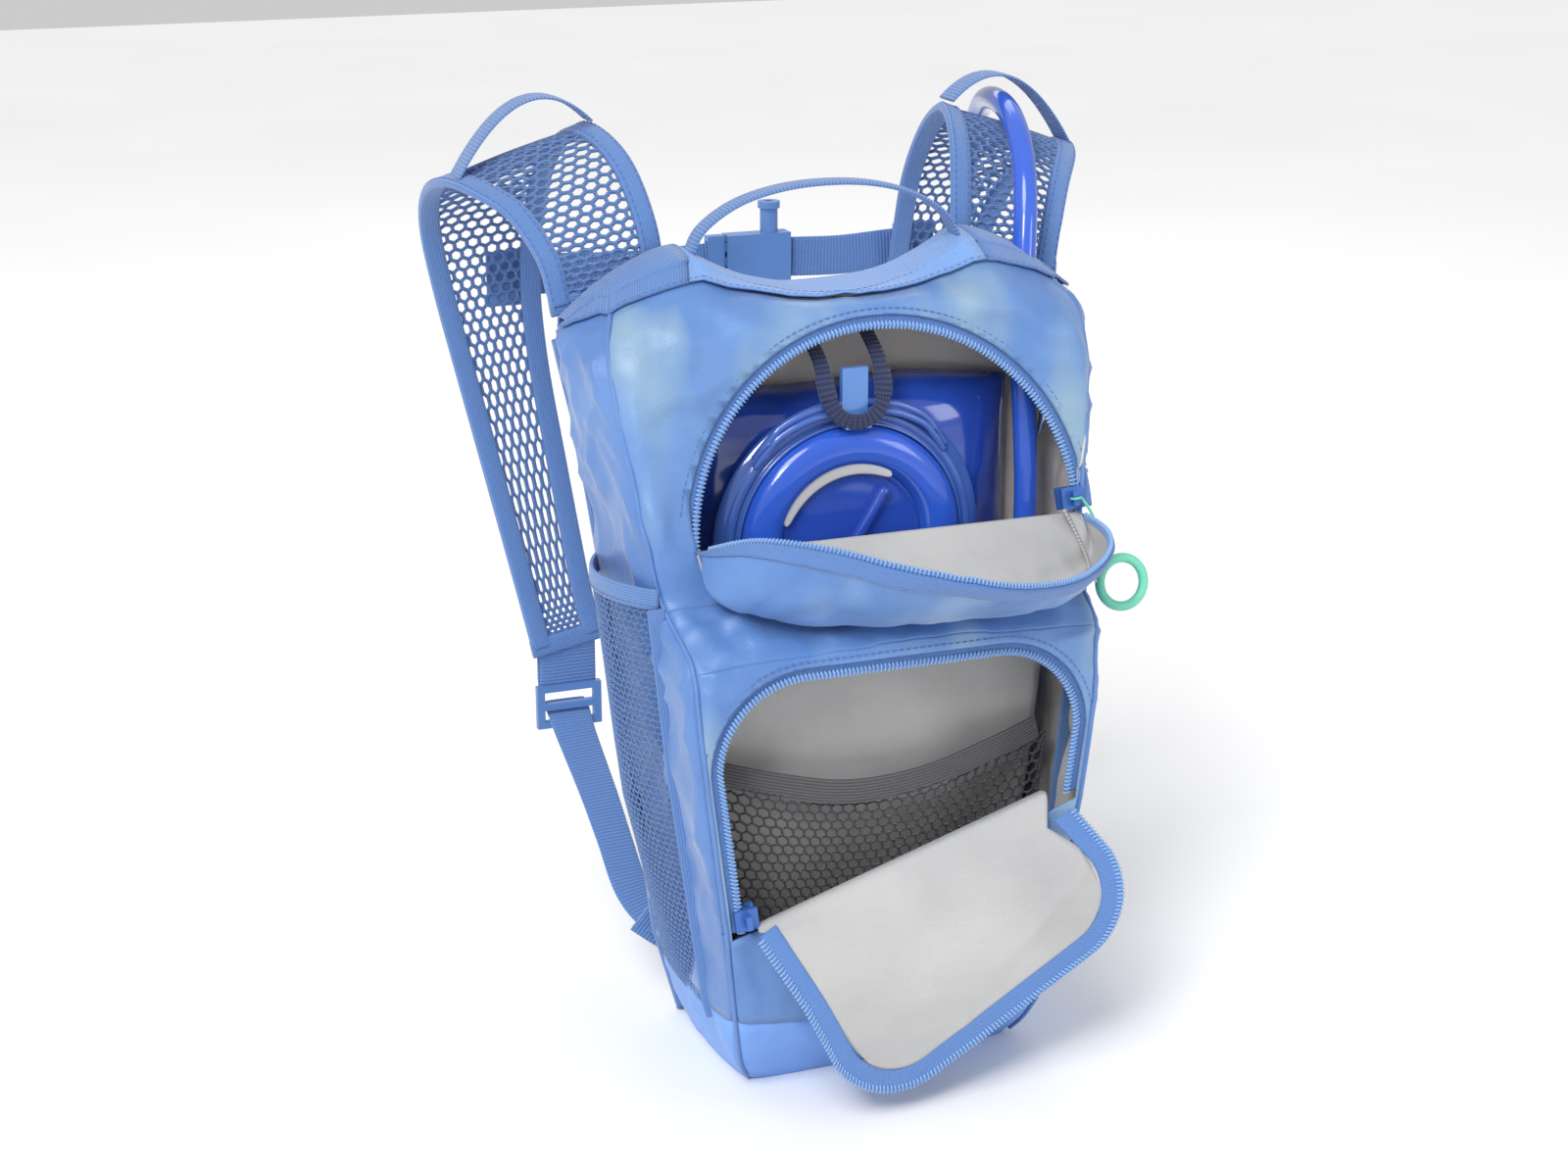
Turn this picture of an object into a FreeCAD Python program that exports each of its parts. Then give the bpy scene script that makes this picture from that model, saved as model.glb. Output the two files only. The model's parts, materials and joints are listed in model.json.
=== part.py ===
"""A child's hydration pack: a sewn bag with two zipped openings, a mesh harness and a water reservoir.

Millimetres. +X is to the right of a viewer who faces the zips, -Y points to that viewer, +Z is up.
The origin is on the floor, under the middle of the standing pack.
"""
import FreeCAD, Part
import math
import os
from FreeCAD import Placement, Rotation, Vector

X_AXIS, Y_AXIS, Z_AXIS = Vector(1, 0, 0), Vector(0, 1, 0), Vector(0, 0, 1)
SIDES = {"left": -1, "right": 1}

doc = FreeCAD.newDocument("hydration_pack")

# ---------------------------------------------------------------- driving dimensions
DRIVING = {
    # the bag
    "fabric_thickness": 2.5, "base_half_width": 62, "seam_height": 38, "seam_half_width": 73,
    "waist_height": 173, "waist_half_width": 90, "chest_height": 270, "chest_half_width": 104,
    "yoke_half_width": 111, "yoke_outer_height": 303, "yoke_inner_height": 331, "neck_half_width": 60,
    "neck_height": 311, "back_depth": 8, "base_depth": 78, "pocket_depth": 96, "pocket_height": 186,
    "fold_height": 204, "fold_depth": 66, "arch_plane_top": 307, "arch_plane_top_depth": 43, "neck_depth": 15,
    # the back
    "lining_thickness": 1.5, "foam_thickness": 5, "air_mesh_thickness": 3,
    # the zips
    "arch_centre_height": 224, "arch_centre_side": 9, "arch_opening_radius": 85.8, "coil_radius": 1.2,
    "arch_coil_radius": 82,
    "coil_gap": 1.6, "tape_width": 3.6, "tape_thickness": 0.8, "zip_half_width": 68, "zip_spread": 0.12,
    "zip_top_height": 180,
    "zip_corner_radius": 35, "zip_left_height": 77, "zip_right_height": 116, "slider_length": 9,
    "slider_width": 9.6, "slider_height": 7, "flap_thickness": 2, "flap_rest_lift": 3, "pocket_flap_open": 162,
    "pull_ring_radius": 10, "pull_ring_thickness": 4,
    # the reservoir
    "bladder_half_width": 70, "bladder_top": 272, "bladder_bottom": 24, "bladder_depth": 23, "bladder_back": 12,
    "cap_height": 216, "cap_radius": 47, "collar_radius": 56, "hose_diameter": 10,
    # the harness
    "strap_thickness": 5, "webbing_thickness": 1.6, "webbing_width": 20, "edge_width": 9,
    "side_pocket_stand_off": 14, "side_pocket_height": 205,
}
sheet = doc.addObject("Spreadsheet::Sheet", "Sizes")
for row, (alias, value) in enumerate(DRIVING.items(), 1):
    sheet.set(f"A{row}", alias)
    sheet.set(f"B{row}", str(value))
    sheet.setAlias(f"B{row}", alias)
doc.recompute()


def size(alias):
    """The value of a driving dimension."""
    return float(sheet.get(alias))


nodes = []


def keep(thing, label):
    """Marks a document object as a sub-part with this name."""
    thing.Label = label
    nodes.append(thing)
    return thing


# ---------------------------------------------------------------- ways of making a solid
def lines(points):
    """The straight edges through (u, v) points, in order."""
    return [Part.LineSegment(Vector(*a, 0), Vector(*b, 0)) for a, b in zip(points, points[1:])]


def arc(start, middle, end):
    """An arc through three (u, v) points."""
    return Part.Arc(Vector(*start, 0), Vector(*middle, 0), Vector(*end, 0))


def closed(points):
    """A closed polygon through (u, v) points."""
    return lines(points + points[:1])


def pad(name, plane, outline, start, length, midplane=False):
    """A PartDesign body padded from an outline. start and length are expressions in millimetres."""
    body = doc.addObject("PartDesign::Body", name)
    sketch = body.newObject("Sketcher::SketchObject", name + "_outline")
    support = next(f for f in body.Origin.OriginFeatures if f.Role == plane)
    sketch.AttachmentSupport = [(support, "")]
    sketch.MapMode = "FlatFace"
    sketch.setExpression("AttachmentOffset.Base.z", f"({start}) * 1 mm")
    for edge in outline:
        sketch.addGeometry(edge)
    feature = body.newObject("PartDesign::Pad", name + "_pad")
    feature.Profile = sketch
    feature.setExpression("Length", f"({length}) * 1 mm")
    feature.Midplane = midplane
    body.Tip = feature
    return body


def boolean(kind, name, base, tool):
    """A Part::Cut, Part::Common or Part::Fuse of two document objects."""
    made = doc.addObject("Part::" + kind, name)
    made.Base = base
    made.Tool = tool
    return made


def box(name, low, high):
    """A Part::Box between two corners."""
    made = doc.addObject("Part::Box", name)
    made.Length, made.Width, made.Height = (b - a for a, b in zip(low, high))
    made.Placement.Base = Vector(*low)
    return made


def cylinder(name, radius, height, base, direction=Z_AXIS):
    """A Part::Cylinder whose radius is an expression, from base along direction."""
    made = doc.addObject("Part::Cylinder", name)
    made.setExpression("Radius", f"({radius}) * 1 mm")
    made.setExpression("Height", f"({height}) * 1 mm")
    made.Placement = Placement(base, Rotation(Z_AXIS, direction))
    return made


def feature(name, shape, place=None):
    """A Part::Feature for a swept or lofted piece."""
    made = doc.addObject("Part::Feature", name)
    made.Shape = shape
    if place is not None:
        made.Placement = place
    return made


def ribbon(sections):
    """A ruled band through (centre, half width vector, half thickness vector) sections."""
    wires = []
    for centre, wide, thick in sections:
        corners = [centre - wide - thick, centre + wide - thick, centre + wide + thick, centre - wide + thick]
        wires.append(Part.makePolygon(corners + corners[:1]))
    return Part.makeLoft(wires, True, True)


def strip(points, wide, thickness):
    """A band of constant width that follows a path; wide is its half width vector."""
    sections = []
    for i, point in enumerate(points):
        along = points[min(i + 1, len(points) - 1)] - points[max(i - 1, 0)]
        normal = along.cross(wide).normalize()
        sections.append((point, wide, normal * (thickness / 2)))
    return ribbon(sections)


def rounded_edges(points, radius=None):
    """Straight runs joined by tangent arcs of one radius, or each as large as its two runs allow."""
    edges, radii, here = [], [], points[0]
    for before, corner, after in zip(points, points[1:], points[2:]):
        into, onward = (corner - before), (after - corner)
        half_turn = into.getAngle(onward) / 2
        if radius:
            setback = radius * math.tan(half_turn)
        else:
            setback = 0.45 * min(into.Length, onward.Length)
        radii.append(setback / math.tan(half_turn))
        first = corner - into.normalize() * setback
        last = corner + onward.normalize() * setback
        inwards = ((first + last) * 0.5 - corner).normalize()
        middle = corner + inwards * (radii[-1] / math.cos(half_turn) - radii[-1])
        edges += [Part.LineSegment(here, first), Part.Arc(first, middle, last)]
        here = last
    edges.append(Part.LineSegment(here, points[-1]))
    return edges, radii


def rounded_path(points):
    """A wire of straight runs joined by tangent arcs, and the arcs' radii."""
    edges, radii = rounded_edges(points)
    return Part.Wire([e.toShape() for e in edges]), radii


def tube(points, radius):
    """A round tube along straight runs and tangent arcs."""
    path, radii = rounded_path(points)
    print(f"tube: {path.Length:.0f} mm, smallest radius {min(radii):.0f}")
    section = Part.Wire([Part.Circle(points[0], points[1] - points[0], radius).toShape()])
    return path.makePipeShell([section], True, False)


# ---------------------------------------------------------------- outlines of the bag
def half_width(height):
    """Half the bag's width at a height, on straight lines between the named stations."""
    stations = [(0, size("base_half_width")), (size("seam_height"), size("seam_half_width")),
                (size("waist_height"), size("waist_half_width")), (size("chest_height"), size("chest_half_width")),
                (size("yoke_outer_height"), size("yoke_half_width"))]
    for (low, a), (high, b) in zip(stations, stations[1:]):
        if height <= high:
            return a + (b - a) * (height - low) / (high - low)
    return stations[-1][1]


def bag_outline(inset):
    """The bag from the front: tapered sides, a rounded yoke over each shoulder and the neck's curve."""
    heights = [inset, size("seam_height"), size("waist_height"), size("chest_height"),
               size("yoke_outer_height") - inset]
    right = [(half_width(z) - inset, z) for z in heights]
    left = [(-x, z) for x, z in reversed(right)]
    outer, inner = right[-1], (size("neck_half_width") + inset * 0.3, size("yoke_inner_height") - inset)
    crown = ((outer[0] + inner[0]) / 2 + 4, (outer[1] + inner[1]) / 2 + 6)
    neck = (0, size("neck_height") - inset)
    mirrored = [(-x, z) for x, z in (inner, crown, outer)]
    return (lines(left + right) + [arc(outer, crown, inner), arc(inner, neck, mirrored[0])]
            + [arc(*mirrored)])


def side_outline(inset):
    """The bag from the side, as (y, z): a flat back and a front that steps out at the pocket."""
    back = -size("back_depth")
    front = [(-size("neck_depth"), size("yoke_inner_height")), (-size("neck_depth") - 2, size("neck_height")),
             (-size("arch_plane_top_depth"), size("arch_plane_top")), (-size("fold_depth"), size("fold_height")),
             (-size("pocket_depth"), size("pocket_height")), (-size("pocket_depth"), size("seam_height")),
             (-size("base_depth"), 0)]
    if inset:
        front = [(y + inset, z - inset * (0.25 if y < -size("back_depth") - 20 else 0)) for y, z in front[:-1]]
        front += [(-size("base_depth") + inset, inset)]
    return closed([(back, inset), (back, size("yoke_inner_height") + 1)] + [(back - 1, size("yoke_inner_height") + 1)]
                  + front)


def zip_reach(height, offset):
    """How far the pocket zip's line is from the middle at a height, moved inwards by offset."""
    spread = size("zip_spread")
    return size("zip_half_width") + spread * (height - size("zip_left_height")) - offset * math.hypot(1, spread)


def zip_path(offset, low_left, low_right):
    """The pocket zip's line in (x, z), moved inwards by offset: up the left, over the top, down the right."""
    ceiling = size("zip_top_height") - offset
    corners = [(-zip_reach(low_left, offset), low_left), (-zip_reach(ceiling, offset), ceiling),
               (zip_reach(ceiling, offset), ceiling), (zip_reach(low_right, offset), low_right)]
    return rounded_edges([Vector(*corner, 0) for corner in corners], size("zip_corner_radius") - offset)[0]


def pocket_hole(offset, above_fold=0.0):
    """The closed outline of the pocket's mouth: the zip's line and the slanting fold under it."""
    left, right = size("zip_left_height") + above_fold, size("zip_right_height") + above_fold
    return (zip_path(offset, left, right)
            + lines([(zip_reach(right, offset), right), (-zip_reach(left, offset), left)]))


# ---------------------------------------------------------------- the sewn bag
WIDE = "260"                      # wider than the bag, for pads along X
cloth = size("fabric_thickness")
top = size("yoke_inner_height") + 5

front_block = pad("front_block", "XZ_Plane", bag_outline(0), "Sizes.back_depth", "130")
side_block = pad("side_block", "YZ_Plane", side_outline(0), "0", WIDE, midplane=True)
front_inner = pad("front_inner", "XZ_Plane", bag_outline(cloth), "Sizes.back_depth - 5", "140")
side_inner = pad("side_inner", "YZ_Plane", side_outline(cloth), "0", WIDE, midplane=True)
bag = boolean("Common", "bag", front_block, side_block)
bag_room = boolean("Common", "bag_room", front_inner, side_inner)
shell = boolean("Cut", "shell", bag, bag_room)
rim = boolean("Cut", "rim", bag, front_inner)
front_skin = boolean("Cut", "front_skin", boolean("Common", "bag_core", bag, front_inner), side_inner)

seam, fold, pocket_top = size("seam_height"), size("fold_height"), size("pocket_height")
yoke = size("yoke_outer_height") - cloth
port_low, port_high = Vector(83, -21, 294), Vector(90, -9, 344)
hose_port = cylinder("hose_port", "Sizes.hose_diameter / 2 + 2", "55", port_low, port_high - port_low)


def slab(name, low, high, left=-130, right=130):
    """A wide box between two heights, for splitting the shell into panels."""
    return box(name, (left, -140, low), (right, 30, high))


keep(boolean("Common", "bottom_panel", shell, slab("bottom_slab", -1, seam)), "bottom_panel")
keep(boolean("Common", "side_left", rim, slab("left_slab", seam, yoke, right=0)), "side_panel_left")
keep(boolean("Common", "side_right", rim, slab("right_slab", seam, yoke, left=0)), "side_panel_right")
neck_tape = boolean("Common", "neck_tape", rim, slab("neck_slab", yoke, top))
keep(boolean("Cut", "neck_binding", neck_tape, hose_port), "neck_and_yoke_binding")

hole = pad("pocket_mouth", "XZ_Plane", pocket_hole(-4), "60", "60")
pocket_face = boolean("Common", "pocket_face", front_skin, slab("pocket_slab", seam, pocket_top))
keep(boolean("Cut", "pocket_frame", pocket_face, hole), "pocket_front_panel")
keep(boolean("Common", "pocket_roof", front_skin, slab("roof_slab", pocket_top, fold)), "pocket_top_panel")

# the arch's plane leans back; lift is its direction upwards and out is its outward normal
run = size("fold_depth") - size("arch_plane_top_depth")
rise = size("arch_plane_top") - size("fold_height")
lean = math.atan2(run, rise)
lift = Vector(0, math.sin(lean), math.cos(lean))
out = Vector(0, -math.cos(lean), math.sin(lean))
arch_height = size("arch_centre_height")
arch_centre = Vector(size("arch_centre_side"), -size("fold_depth") + (arch_height - fold) * math.tan(lean), arch_height) - out * (cloth / 2)
on_arch = Placement(arch_centre, Rotation(X_AXIS, lift, out))


def half_ring(inner, outer, first=0.0, last=180.0):
    """A flat ring sector in (u, v) about the arch's centre, between two angles in degrees."""
    def at(radius, angle):
        return (radius * math.cos(math.radians(angle)), radius * math.sin(math.radians(angle)))

    middle = (first + last) / 2
    return [arc(at(outer, first), at(outer, middle), at(outer, last))] + lines(
        [at(outer, last), at(inner, last)]) + [arc(at(inner, last), at(inner, middle), at(inner, first))] + lines(
        [at(inner, first), at(outer, first)])


def half_disc(radius, low=0.0):
    """A half disc in (u, v) above a chord at height low."""
    reach = math.sqrt(radius**2 - low**2)
    return [arc((reach, low), (0, radius), (-reach, low))] + lines([(-reach, low), (reach, low)])


mouth = pad("arch_mouth", "XY_Plane", half_disc(size("arch_opening_radius")), "-20", "40")
mouth.Placement = on_arch
upper_skin = boolean("Common", "upper_skin", front_skin, slab("upper_slab", fold, top))
front_upper = boolean("Cut", "front_upper", upper_skin, mouth)
keep(boolean("Cut", "front_upper_with_port", front_upper, hose_port), "front_upper_panel")

back = size("back_depth")
keep(pad("back_lining", "XZ_Plane", bag_outline(0), f"{back} - Sizes.lining_thickness", "Sizes.lining_thickness"),
     "back_lining")
keep(pad("back_foam", "XZ_Plane", bag_outline(6), f"{back} - Sizes.lining_thickness - Sizes.foam_thickness",
         "Sizes.foam_thickness"), "back_foam")
keep(pad("back_mesh", "XZ_Plane", bag_outline(0),
         f"{back} - Sizes.lining_thickness - Sizes.foam_thickness - Sizes.air_mesh_thickness",
         "Sizes.air_mesh_thickness"), "back_air_mesh")

# the wall between the reservoir's room and the pocket
divider_outline = closed([(-size("base_half_width") + 4, 4), (size("base_half_width") - 4, 4),
                          (half_width(seam) - 4, seam), (half_width(198) - 4, 198), (-half_width(198) + 4, 198),
                          (-half_width(seam) + 4, seam)])
keep(pad("divider", "XZ_Plane", divider_outline, "58", "1.5"), "pocket_divider")

# ---------------------------------------------------------------- the upper zip and its flap
coil, gap = size("coil_radius"), size("coil_gap")
arch_coil = size("arch_coil_radius")
flap_coil = arch_coil - 2 * coil - gap
tape = size("tape_width")
slider_long, slider_wide, slider_high = size("slider_length"), size("slider_width"), size("slider_height")
flap_start = 10.0                 # degrees of arch that the flap's coil leaves free for the slider


def arch_tooth_row(name, radius, first, last, place):
    """A zip coil as part of a torus."""
    made = doc.addObject("Part::Torus", name)
    made.Radius1 = radius
    made.setExpression("Radius2", "Sizes.coil_radius * 1 mm")
    made.Angle3 = last - first
    made.Placement = place.multiply(Placement(Vector(), Rotation(Z_AXIS, first)))
    return made


tape_ring = half_ring(arch_coil + coil + 0.1, size("arch_opening_radius") - 0.1, 1, 179)
arch_tape = keep(pad("arch_tape", "XY_Plane", tape_ring, "-Sizes.tape_thickness / 2", "Sizes.tape_thickness"),
                 "upper_zip_tape")
arch_tape.Placement = on_arch
keep(arch_tooth_row("arch_coil", arch_coil, 1, 179, on_arch), "upper_zip_coil")

open_up = Vector(0, -math.cos(math.radians(size("flap_rest_lift"))), math.sin(math.radians(size("flap_rest_lift"))))
on_flap = Placement(arch_centre, Rotation(X_AXIS, open_up, X_AXIS.cross(open_up)))
flap_edge = flap_coil - coil - 0.1
flap = keep(pad("upper_flap_cloth", "XY_Plane", half_disc(flap_edge - tape - 0.1, 4), "-Sizes.flap_thickness / 2",
                "Sizes.flap_thickness"), "upper_flap")
flap.Placement = on_flap
flap_tape = keep(pad("flap_tape", "XY_Plane", half_ring(flap_edge - tape, flap_edge, flap_start, 180 - flap_start),
                     "-Sizes.tape_thickness / 2", "Sizes.tape_thickness"), "upper_flap_tape")
flap_tape.Placement = on_flap
keep(arch_tooth_row("flap_coil", flap_coil, flap_start, 180 - flap_start, on_flap), "upper_flap_coil")


BAR_HEIGHT = slider_high / 2 + 2.7    # the middle of the slider's bar, which its pull turns about


def slider(name, label, place):
    """A zip slider: two plates and a post between the coils. Local X is radial and Y runs along the zip."""
    width, long, high = slider_wide, slider_long, slider_high
    body = Part.makeBox(width, long, high, Vector(-width / 2, -long / 2, -high / 2))
    channel = Part.makeBox(4 * coil + gap + 1.0, long + 2, 2 * coil + 1.0,
                           Vector(-(4 * coil + gap + 1.0) / 2, -long / 2 - 1, -coil - 0.5))
    slot = Part.makeBox(width + 2, long + 2, 2 * coil + 1.0, Vector(-width / 2 - 1, -long / 2 - 1, -coil - 0.5))
    post = Part.makeBox(gap - 0.6, 2.0, 2 * coil + 1.0, Vector(-(gap - 0.6) / 2, long / 2 - 2, -coil - 0.5))
    bridge = Part.makeBox(2.4, long - 3, 3.4, Vector(-1.2, -long / 2 + 1.5, high / 2))
    eye = Part.makeBox(4, long - 6, 1.8, Vector(-2, -long / 2 + 3, high / 2 + 0.2))
    shape = body.cut(channel).cut(slot).fuse(post).fuse(bridge).cut(eye).removeSplitter()
    return keep(feature(name, shape, place), label)


def pull(name, label, bend, end, place):
    """A cord loop from the slider's eye and a round ring on its end, in the slider's local axes."""
    ring_radius, thick = size("pull_ring_radius"), size("pull_ring_thickness")
    eye = Part.makeTorus(2.0, 0.5, Vector(0, 0, BAR_HEIGHT), Y_AXIS)
    start, bend, end = (Vector(x, y, BAR_HEIGHT) for x, y in ((2.2, 0), bend, end))
    cord, _ = rounded_path([start, bend, end])
    section = Part.Wire([Part.Circle(start, bend - start, 0.6).toShape()])
    cord = cord.makePipeShell([section], True, False)
    towards = (end - bend).normalize()
    ring = Part.makeTorus(ring_radius, thick / 2, end + towards * ring_radius, Z_AXIS)
    return keep(feature(name, cord.fuse(eye).fuse(ring).removeSplitter(), place), label)


arch_middle = (arch_coil + flap_coil) / 2
slider_angle = 4.2
slider_place = on_arch.multiply(Placement(Vector(), Rotation(Z_AXIS, slider_angle))).multiply(
    Placement(Vector(arch_middle, 0, 0), Rotation()))
slider("arch_slider", "upper_zip_slider", slider_place)
pull("arch_pull", "upper_zip_pull", (5.6, -5.6), (12.5, -28), slider_place)

# ---------------------------------------------------------------- the pocket zip and its flap
zip_plane = size("pocket_depth") - cloth / 2
left_end, right_end = size("zip_left_height"), size("zip_right_height")
fold_left = Vector(-zip_reach(left_end, 0), -size("pocket_depth") - 2, left_end)
fold_right = Vector(zip_reach(right_end, 0), -size("pocket_depth") - 2, right_end)
fold_axis = (fold_right - fold_left).normalize()
open_turn = Rotation(fold_axis, size("pocket_flap_open"))
flap_open = Placement(fold_left, open_turn).multiply(Placement(-fold_left, Rotation()))


def zip_sweep(offset, above_fold):
    """A coil along the pocket zip's line."""
    path = Part.Wire([g.toShape() for g in zip_path(offset, left_end + above_fold, right_end + above_fold)])
    start = path.Vertexes[0].Point
    section = Part.Wire([Part.Circle(start, path.Vertexes[1].Point - start, coil).toShape()])
    row = path.makePipeShell([section], True, False)
    return row.transformShape(Placement(Vector(0, -zip_plane, 0), Rotation(X_AXIS, 90)).Matrix)


def zip_band(name, inner, outer, above_fold):
    """A flat tape beside the pocket zip, between two offsets from its line."""
    low_left, low_right = left_end + above_fold, right_end + above_fold
    ends = []
    for height, sign in ((low_left, -1), (low_right, 1)):
        ends += lines([(sign * zip_reach(height, inner), height), (sign * zip_reach(height, outer), height)])
    outline = zip_path(inner, low_left, low_right) + zip_path(outer, low_left, low_right) + ends
    return pad(name, "XZ_Plane", outline, f"{zip_plane} - Sizes.tape_thickness / 2", "Sizes.tape_thickness")


keep(feature("pocket_coil", zip_sweep(0, 2)), "pocket_zip_coil")
keep(zip_band("pocket_tape", -3.9, -coil - 0.1, 1), "pocket_zip_tape")
inner_offset = 2 * coil + gap
flap_row_start = 15.0             # how far above the fold the flap's coil starts
flap_row = keep(feature("flap_row", zip_sweep(inner_offset, flap_row_start)), "pocket_flap_coil")
flap_row.Placement = flap_open.multiply(flap_row.Placement)
flap_inset = inner_offset + coil + 0.1
pocket_flap = keep(pad("pocket_flap_cloth", "XZ_Plane", pocket_hole(flap_inset + tape + 0.1, 4),
                       f"{zip_plane} - Sizes.flap_thickness / 2", "Sizes.flap_thickness"), "pocket_flap")
pocket_flap.Placement = flap_open
flap_band = keep(zip_band("flap_band", flap_inset + tape, flap_inset, flap_row_start), "pocket_flap_tape")
flap_band.Placement = flap_open
slider_low = left_end + 1.5 + slider_long / 2
up_zip = Vector(-size("zip_spread"), 0, 1).normalize()
low_place = Placement(Vector(-zip_reach(slider_low, inner_offset / 2), -zip_plane, slider_low),
                      Rotation(Y_AXIS.cross(up_zip), up_zip, -Y_AXIS))
slider("pocket_slider", "pocket_zip_slider", low_place)


# ---------------------------------------------------------------- inside the pocket
pocket_floor, band_height = seam + 6, 128
mesh_outline = closed([(-66, pocket_floor), (66, pocket_floor), (76, band_height), (-76, band_height)])
keep(pad("inner_mesh", "XZ_Plane", mesh_outline, "68", "1.6"), "inner_mesh_pocket")
band_outline = closed([(-76, band_height), (76, band_height), (77, band_height + 12), (-77, band_height + 12)])
keep(pad("inner_band", "XZ_Plane", band_outline, "68", "1.6"), "inner_pocket_elastic")

# ---------------------------------------------------------------- the mesh pockets on the sides
pocket_rise, stand_off = size("side_pocket_height"), size("side_pocket_stand_off")


def side_pocket(side):
    """A mesh panel that stands off the side panel, and its elastic hem."""
    sign = SIDES[side]
    outline = [(half_width(seam - 8) + 0.6, seam - 8), (half_width(seam + 20) + stand_off * 0.6, seam + 20),
               (half_width(150) + stand_off, 150), (half_width(pocket_rise) + stand_off, pocket_rise)]
    inside = [(x - 1.4, z) for x, z in reversed(outline[1:])] + [(half_width(seam) + 0.6, seam)]
    flat = [(sign * x, z) for x, z in outline + inside]
    keep(pad(f"side_mesh_{side}", "XZ_Plane", closed(flat), "14", "48"), f"side_pocket_{side}")
    wide = half_width(pocket_rise) + stand_off
    hem = [(wide - 1.6, pocket_rise), (wide, pocket_rise), (wide + 0.6, pocket_rise + 8), (wide - 1.2, pocket_rise + 8)]
    keep(pad(f"side_hem_{side}", "XZ_Plane", closed([(sign * x, z) for x, z in hem]), "14", "48"),
         f"side_pocket_hem_{side}")


# ---------------------------------------------------------------- the reservoir
def reservoir():
    """The filled bladder with its collar, cap, carrying bar, hook, outlet and gasket."""
    wide, low, high = size("bladder_half_width"), size("bladder_bottom"), size("bladder_top")
    outline = [(-wide + 22, low), (wide - 22, low), (wide - 4, low + 24), (wide, high - 60), (wide, high),
               (-wide, high), (-wide, high - 60), (-wide + 4, low + 24)]
    front = size("bladder_back") + size("bladder_depth")
    bladder = pad("bladder_film", "XZ_Plane", closed(outline), "Sizes.bladder_back", "Sizes.bladder_depth")
    keep(bladder, "reservoir_bladder")
    middle = Vector(0, -front, size("cap_height"))
    base = cylinder("collar_flange", "Sizes.collar_radius", 2.4, middle, -Y_AXIS)
    wall = cylinder("collar_wall", "Sizes.cap_radius - 3", 7.6, middle, -Y_AXIS)
    bore = cylinder("collar_bore", "Sizes.cap_radius - 6", 14, middle + Y_AXIS * 1, -Y_AXIS)
    keep(boolean("Cut", "collar", boolean("Fuse", "collar_ring", base, wall), bore), "reservoir_collar")
    disc = cylinder("cap_disc", "Sizes.cap_radius", 8.6, middle - Y_AXIS * 2.8, -Y_AXIS)
    well = cylinder("cap_well", "Sizes.cap_radius - 2.6", 7.4, middle - Y_AXIS * 1.8, -Y_AXIS)
    cap = boolean("Cut", "cap_shell", disc, well)
    grip = box("cap_grip", (-28, -front - 13.6, size("cap_height") - 4), (28, -front - 11, size("cap_height") + 4))
    keep(boolean("Fuse", "cap", cap, grip), "reservoir_cap")
    seal = doc.addObject("Part::Torus", "cap_seal")
    seal.setExpression("Radius1", "(Sizes.cap_radius - 4.5) * 1 mm")
    seal.Radius2 = 0.7
    seal.Placement = Placement(middle - Y_AXIS * 8.4, Rotation(Z_AXIS, -Y_AXIS))
    keep(seal, "cap_gasket")
    bar = [Vector(x, -front - 4.2, z) for x, z in ((-34, 264), (-20, 272), (0, 275), (20, 272), (34, 264))]
    feet = Vector(0, 0, 3.0)
    keep(feature("collar_bar", strip(bar, feet, 3.0)), "collar_handle")
    hook = Part.makeBox(11, 3, 24, Vector(-5.5, -front - 8.8, 264))
    lip = Part.makeBox(11, 4, 2.4, Vector(-5.5, -front - 12.8, 264))
    keep(feature("hook", hook.fuse(lip).removeSplitter()), "hang_hook")
    half_loop = [(17, -2, 292), (17, -7, 283), (12, -9.6, 275)]
    loop = [Vector(-x, y - front, z) for x, y, z in half_loop] + [Vector(0, -front - 9.6, 271.5)]
    loop += [Vector(x, y - front, z) for x, y, z in reversed(half_loop)]
    keep(feature("hanger", strip(loop, Vector(0, 0.7, 0), 8.0)), "hang_loop")
    elbow_foot = cylinder("outlet_foot", 11, 4, Vector(52, -front, 44), -Y_AXIS)
    elbow = cylinder("outlet_stem", 6, 13, Vector(52, -front, 44), -Y_AXIS)
    keep(boolean("Fuse", "outlet", elbow_foot, elbow), "reservoir_outlet")


reservoir()

# ---------------------------------------------------------------- the harness
# stations along a shoulder strap: (x of its middle, y, z, half width, how far its outer edge droops in degrees)
STRAP = [(87, 5, 314, 24, 0), (90, 9, 336, 26, 8), (98, 24, 357, 29, 15), (108, 50, 364, 32, 18),
         (112, 80, 354, 31, 15), (111, 104, 332, 28, 8), (107, 116, 300, 24, 0), (101, 118, 262, 21, 0),
         (93, 113, 215, 19, 0), (84, 104, 160, 17, 0), (80, 99, 138, 17, 0)]
strap_thick = size("strap_thickness")


def strap_band(sign, part, thick):
    """A part of the strap's width all along it: its mesh, its inner edge or its outer edge."""
    sections, edge = [], size("edge_width")
    for i, (x, y, z, half, droop) in enumerate(STRAP):
        before, after = STRAP[max(i - 1, 0)], STRAP[min(i + 1, len(STRAP) - 1)]
        along = Vector(0, after[1] - before[1], after[2] - before[2]).normalize()
        across = Vector(math.cos(math.radians(droop)), 0, -math.sin(math.radians(droop)))
        across = (across - along * across.dot(along)).normalize()
        normal = along.cross(across) * -1
        low, high = {"mesh": (-half + edge, half - edge), "inner": (-half, -half + edge),
                     "outer": (half - edge, half)}[part]
        middle = Vector(x, y, z) + across * ((low + high) / 2)
        section = (middle, across * ((high - low) / 2), normal * (thick / 2))
        sections.append([Vector(sign * v.x, v.y, v.z) for v in section])
    return ribbon(sections)


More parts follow.
